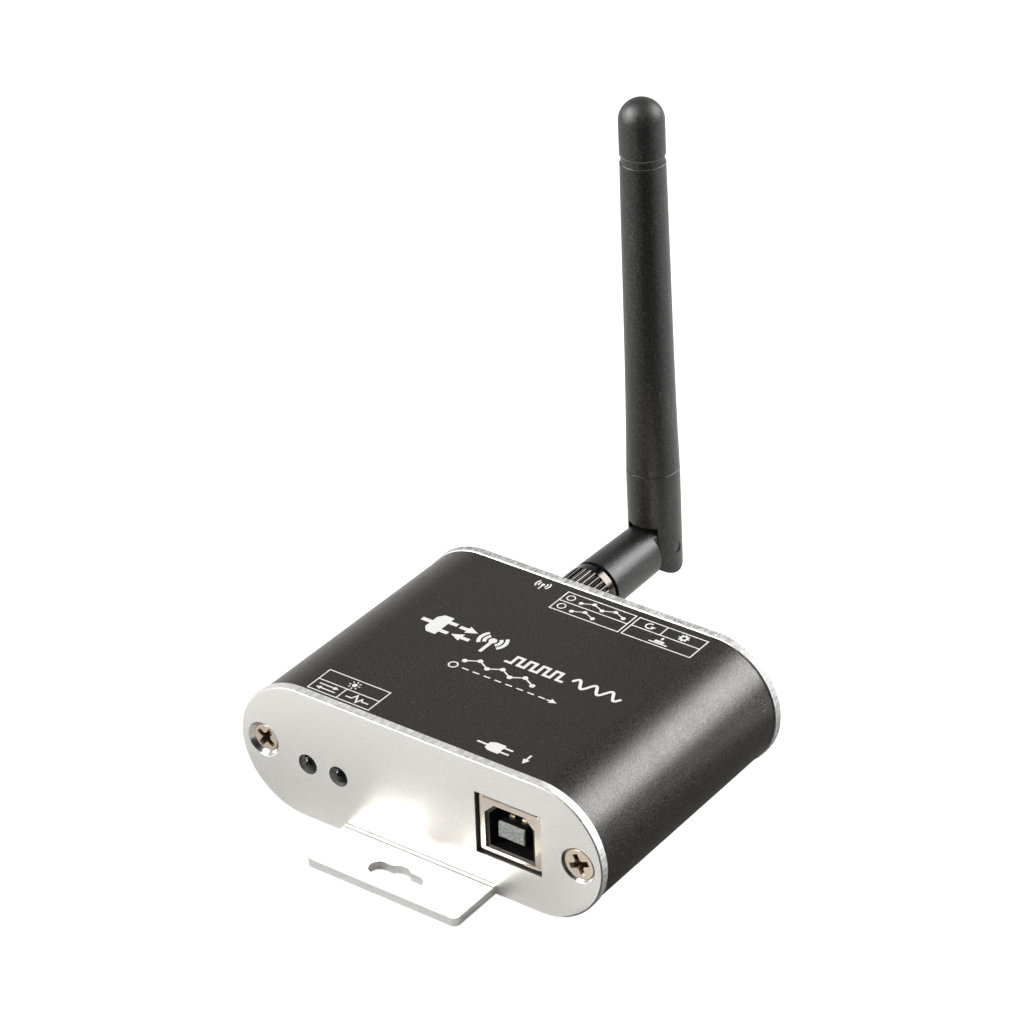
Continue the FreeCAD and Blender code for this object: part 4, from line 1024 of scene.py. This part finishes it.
def lamp_frame(lamp):
    """The two leads and the cup. Gives back the lamp's middle and the cup's front and rear."""
    low, high = [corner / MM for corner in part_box(lamp)]
    x, z = (low.x + high.x) / 2, (low.z + high.z) / 2
    rear, cup_y = high.y - 0.05, low.y + CUP_FRONT
    cup_rear = cup_y + CUP_LENGTH
    frame_mesh = bmesh.new()
    z0, z1 = z - LEAD_SHEET / 2, z + LEAD_SHEET / 2
    stamped(frame_mesh, [(x - 1.05, rear), (x - 1.05, cup_rear + 0.9), (x - 0.6, cup_rear + 0.02),
                         (x + 0.35, cup_rear + 0.02), (x + 0.15, cup_rear + 0.8),
                         (x - 0.6, cup_rear + 1.2), (x - 0.6, rear)], z0, z1)
    stamped(frame_mesh, [(x + 0.6, rear), (x + 0.6, cup_rear + 0.6), (x + 0.72, cup_y + 0.1),
                         (x + 1.0, cup_y + 0.1), (x + 1.05, rear)], z0, z1)
    turned(frame_mesh, x - 0.12, z, [(0.22, cup_rear), (0.22, cup_rear - 0.18), (0.52, cup_y),
                                     (CUP_RADIUS, cup_y), (0.40, cup_rear)])
    piece = drawn(lamp + "_frame", frame_mesh, "lead_tin")
    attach(piece, "root")
    return x, z, cup_y, cup_rear


print("the cup is", 2 * CUP_RADIUS, "mm wide")

# %% Crystal and wire
WIRE_RADIUS = 0.03
WIRE_RISE = 0.5


def lamp_crystal(lamp, x, z, cup_rear):
    chip = bmesh.new()
    stamped(chip, [(x - 0.27, cup_rear - 0.35), (x + 0.03, cup_rear - 0.35),
                   (x + 0.03, cup_rear - 0.02), (x - 0.27, cup_rear - 0.02)], z - 0.15, z + 0.15)
    crystal = drawn(lamp + "_crystal", chip, "ceramic_tan")
    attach(crystal, "root")


def lamp_wire(lamp, x, z, cup_y, cup_rear):
    """A hair of gold wire that bows forward from the crystal to the second lead."""
    curve = bpy.data.curves.new(lamp + "_wire", "CURVE")
    curve.dimensions = "3D"
    curve.bevel_depth = WIRE_RADIUS * MM
    curve.bevel_resolution = 2
    spline = curve.splines.new("BEZIER")
    spline.bezier_points.add(1)
    ends = ((x - 0.12, cup_rear - 0.35, z), (x + 0.86, cup_y + 0.1, z))
    for point, end in zip(spline.bezier_points, ends):
        point.co = Vector(end) * MM
        point.handle_left = point.handle_right = point.co - Vector((0, WIRE_RISE, 0)) * MM
    curve.materials.append(finishes["contact_gold"])
    wire = bpy.data.objects.new(lamp + "_wire", curve)
    scene.collection.objects.link(wire)
    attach(wire, "root")


for lamp in ("left_light", "right_light"):
    x, z, cup_y, cup_rear = lamp_frame(lamp)
    lamp_crystal(lamp, x, z, cup_rear)
    lamp_wire(lamp, x, z, cup_y, cup_rear)
    print(lamp, "holds its frame, crystal and wire, cup at y", round(cup_y, 2), "mm")

# %% [markdown]
# ## Floor, light and surroundings
#
# The object stands on a pale floor in a white studio. White is made without more light: where
# the camera looks at the floor or the surroundings, they are white by themselves, and the floor
# only darkens where the object keeps light off it. Reflections see a sky of their own, which is
# white at the horizon but dimmer above and on two sides, so that black pieces stay black.
#
# A large soft box behind on the right draws the long highlights, and a smaller one in front on
# the left lights the plates. A third, with a grid that keeps its beam narrow, only meets the
# aerial's cap. A dark card lies beside the object, where only reflections see it, and keeps
# the case's right side from mirroring the white floor.

# %% Floor
WHITE = (1.0, 1.0, 1.0, 1.0)
FLOOR_COLOUR = (0.9, 0.895, 0.885, 1.0)
FLOOR_GLOW = 0.90
FLOOR_SHADE = (0.30, 0.30, 0.30, 1.0)
FLOOR_REACH = 3.0


def pale_floor():
    material = bpy.data.materials.new("floor_white")
    material.use_nodes = True
    tree = material.node_tree
    tree.nodes.clear()
    lit = add(tree, "ShaderNodeBsdfDiffuse", {"Color": FLOOR_COLOUR})
    shade = add(tree, "ShaderNodeBsdfDiffuse", {"Color": FLOOR_SHADE})
    glow = add(tree, "ShaderNodeEmission", {"Color": WHITE, "Strength": FLOOR_GLOW})
    seen = add(tree, "ShaderNodeAddShader", {0: shade.outputs[0], 1: glow.outputs[0]})
    camera_ray = add(tree, "ShaderNodeLightPath", {}).outputs["Is Camera Ray"]
    mixed = add(tree, "ShaderNodeMixShader", {0: camera_ray, 1: lit.outputs[0],
                                              2: seen.outputs[0]})
    add(tree, "ShaderNodeOutputMaterial", {"Surface": mixed.outputs[0]})
    return material


def flat_card(name, corners, z, material):
    data = bpy.data.meshes.new(name)
    data.from_pydata([(x, y, z) for x, y in corners], [], [range(len(corners))])
    data.materials.append(material)
    card = bpy.data.objects.new(name, data)
    scene.collection.objects.link(card)
    return card


base_z = solid_low.z
flat_card("floor", [(-FLOOR_REACH, -FLOOR_REACH), (FLOOR_REACH, -FLOOR_REACH),
                    (FLOOR_REACH, FLOOR_REACH), (-FLOOR_REACH, FLOOR_REACH)],
          base_z, pale_floor())
print("floor at z", round(base_z / MM, 3), "mm")

# %% Surroundings
SKY_FALL = 0.25
SKY_HORIZON = 1.0
SKY_ABOVE = 0.34
SKY_HEIGHTS = (0.10, 0.60)
DIM_SIDES = (((0.60, -0.80), (0.00, 0.80), 0.06), ((0.72, 0.69), (0.50, 0.95), 0.25))


def studio_sky():
    """White for the camera, the shaped sky for reflections, and a soft even light else."""
    world = bpy.data.worlds.new("studio")
    world.use_nodes = True
    tree = world.node_tree
    tree.nodes.clear()
    way = add(tree, "ShaderNodeTexCoord", {}).outputs["Generated"]
    sky = ramp(tree, split(tree, way)["Z"], SKY_HORIZON, SKY_ABOVE, *SKY_HEIGHTS)
    for (x, y), reach, left in DIM_SIDES:
        facing = add(tree, "ShaderNodeVectorMath", {0: way, 1: (x, y, 0.0)},
                     operation="DOT_PRODUCT").outputs["Value"]
        sky = multiply(tree, sky, ramp(tree, facing, 1.0, left, *reach))
    path = add(tree, "ShaderNodeLightPath", {}).outputs
    mirrored = calc(tree, "MAXIMUM", path["Is Glossy Ray"], path["Is Transmission Ray"])
    seen = calc(tree, "MAXIMUM", path["Is Camera Ray"], mirrored)
    strength = mix(tree, seen, SKY_FALL, calc(tree, "MAXIMUM", sky, path["Is Camera Ray"]))
    light = add(tree, "ShaderNodeBackground", {"Color": WHITE, "Strength": strength})
    add(tree, "ShaderNodeOutputWorld", {"Surface": light.outputs[0]})
    return world


scene.world = studio_sky()
scene.view_settings.view_transform = "Standard"
print("surroundings dim on", len(DIM_SIDES), "sides")

# %% Soft boxes
OBJECT_MIDDLE = (0.0, 40.0, 15.0)
CAP_MIDDLE = (-14.0, 94.0, 95.0)
GRID_SPREAD = 8.0


def soft_box(name, direction, distance, width, height, brightness, aim=OBJECT_MIDDLE):
    """An area light that looks at `aim` from a direction. Distance and sides are in metres."""
    lamp = bpy.data.lights.new(name, "AREA")
    lamp.shape = "RECTANGLE"
    lamp.size = width
    lamp.size_y = height
    lamp.energy = brightness * math.pi * width * height
    holder = bpy.data.objects.new(name, lamp)
    towards = Vector(direction).normalized()
    holder.location = Vector(aim) * MM + towards * distance
    holder.rotation_mode = "QUATERNION"
    holder.rotation_quaternion = towards.to_track_quat("Z", "Y")
    scene.collection.objects.link(holder)
    print(name, "stands at", [round(c, 3) for c in holder.location])
    return lamp


soft_box("rear_soft_box", (0.52, 0.68, 0.52), 0.8, 0.62, 0.42, 13.8)
soft_box("front_soft_box", (-0.53, -0.67, 0.52), 0.8, 0.28, 0.28, 15.6)
gridded = soft_box("left_soft_box", (-0.65, -0.52, 0.55), 0.40, 0.10, 0.10, 2.6, CAP_MIDDLE)
gridded.spread = math.radians(GRID_SPREAD)

# %% A dark card for the reflections
CARD_OUTLINE = ((26, 500), (26, 10), (38, -8), (10, -45), (-20, -400), (600, -400),
                (600, 500))
CARD_HEIGHT = 0.5


def card_grey():
    """Nearly black, but paler towards the object's right side and behind it."""
    material, tree, shader = start_finish("card_grey")
    near = pick(tree, along(tree, "X", 33.0, 38.0), 0.18, 0.12)
    middle = multiply(tree, near, pick(tree, along(tree, "Y", 5.0, 25.0), 0.15, 1.0))
    far = pick(tree, along(tree, "Y", 75.0, 90.0), 0.0, 0.60)
    fill(tree, shader, {"Base Color": calc(tree, "MAXIMUM", middle, far), "Roughness": 0.9})
    return material


dark_card = flat_card("dark_card", [(x * MM, y * MM) for x, y in CARD_OUTLINE],
                      base_z + CARD_HEIGHT * MM, card_grey())
dark_card.visible_camera = False
dark_card.visible_diffuse = False
dark_card.visible_shadow = False
dark_card.visible_transmission = False
print("the card has", len(CARD_OUTLINE), "corners")
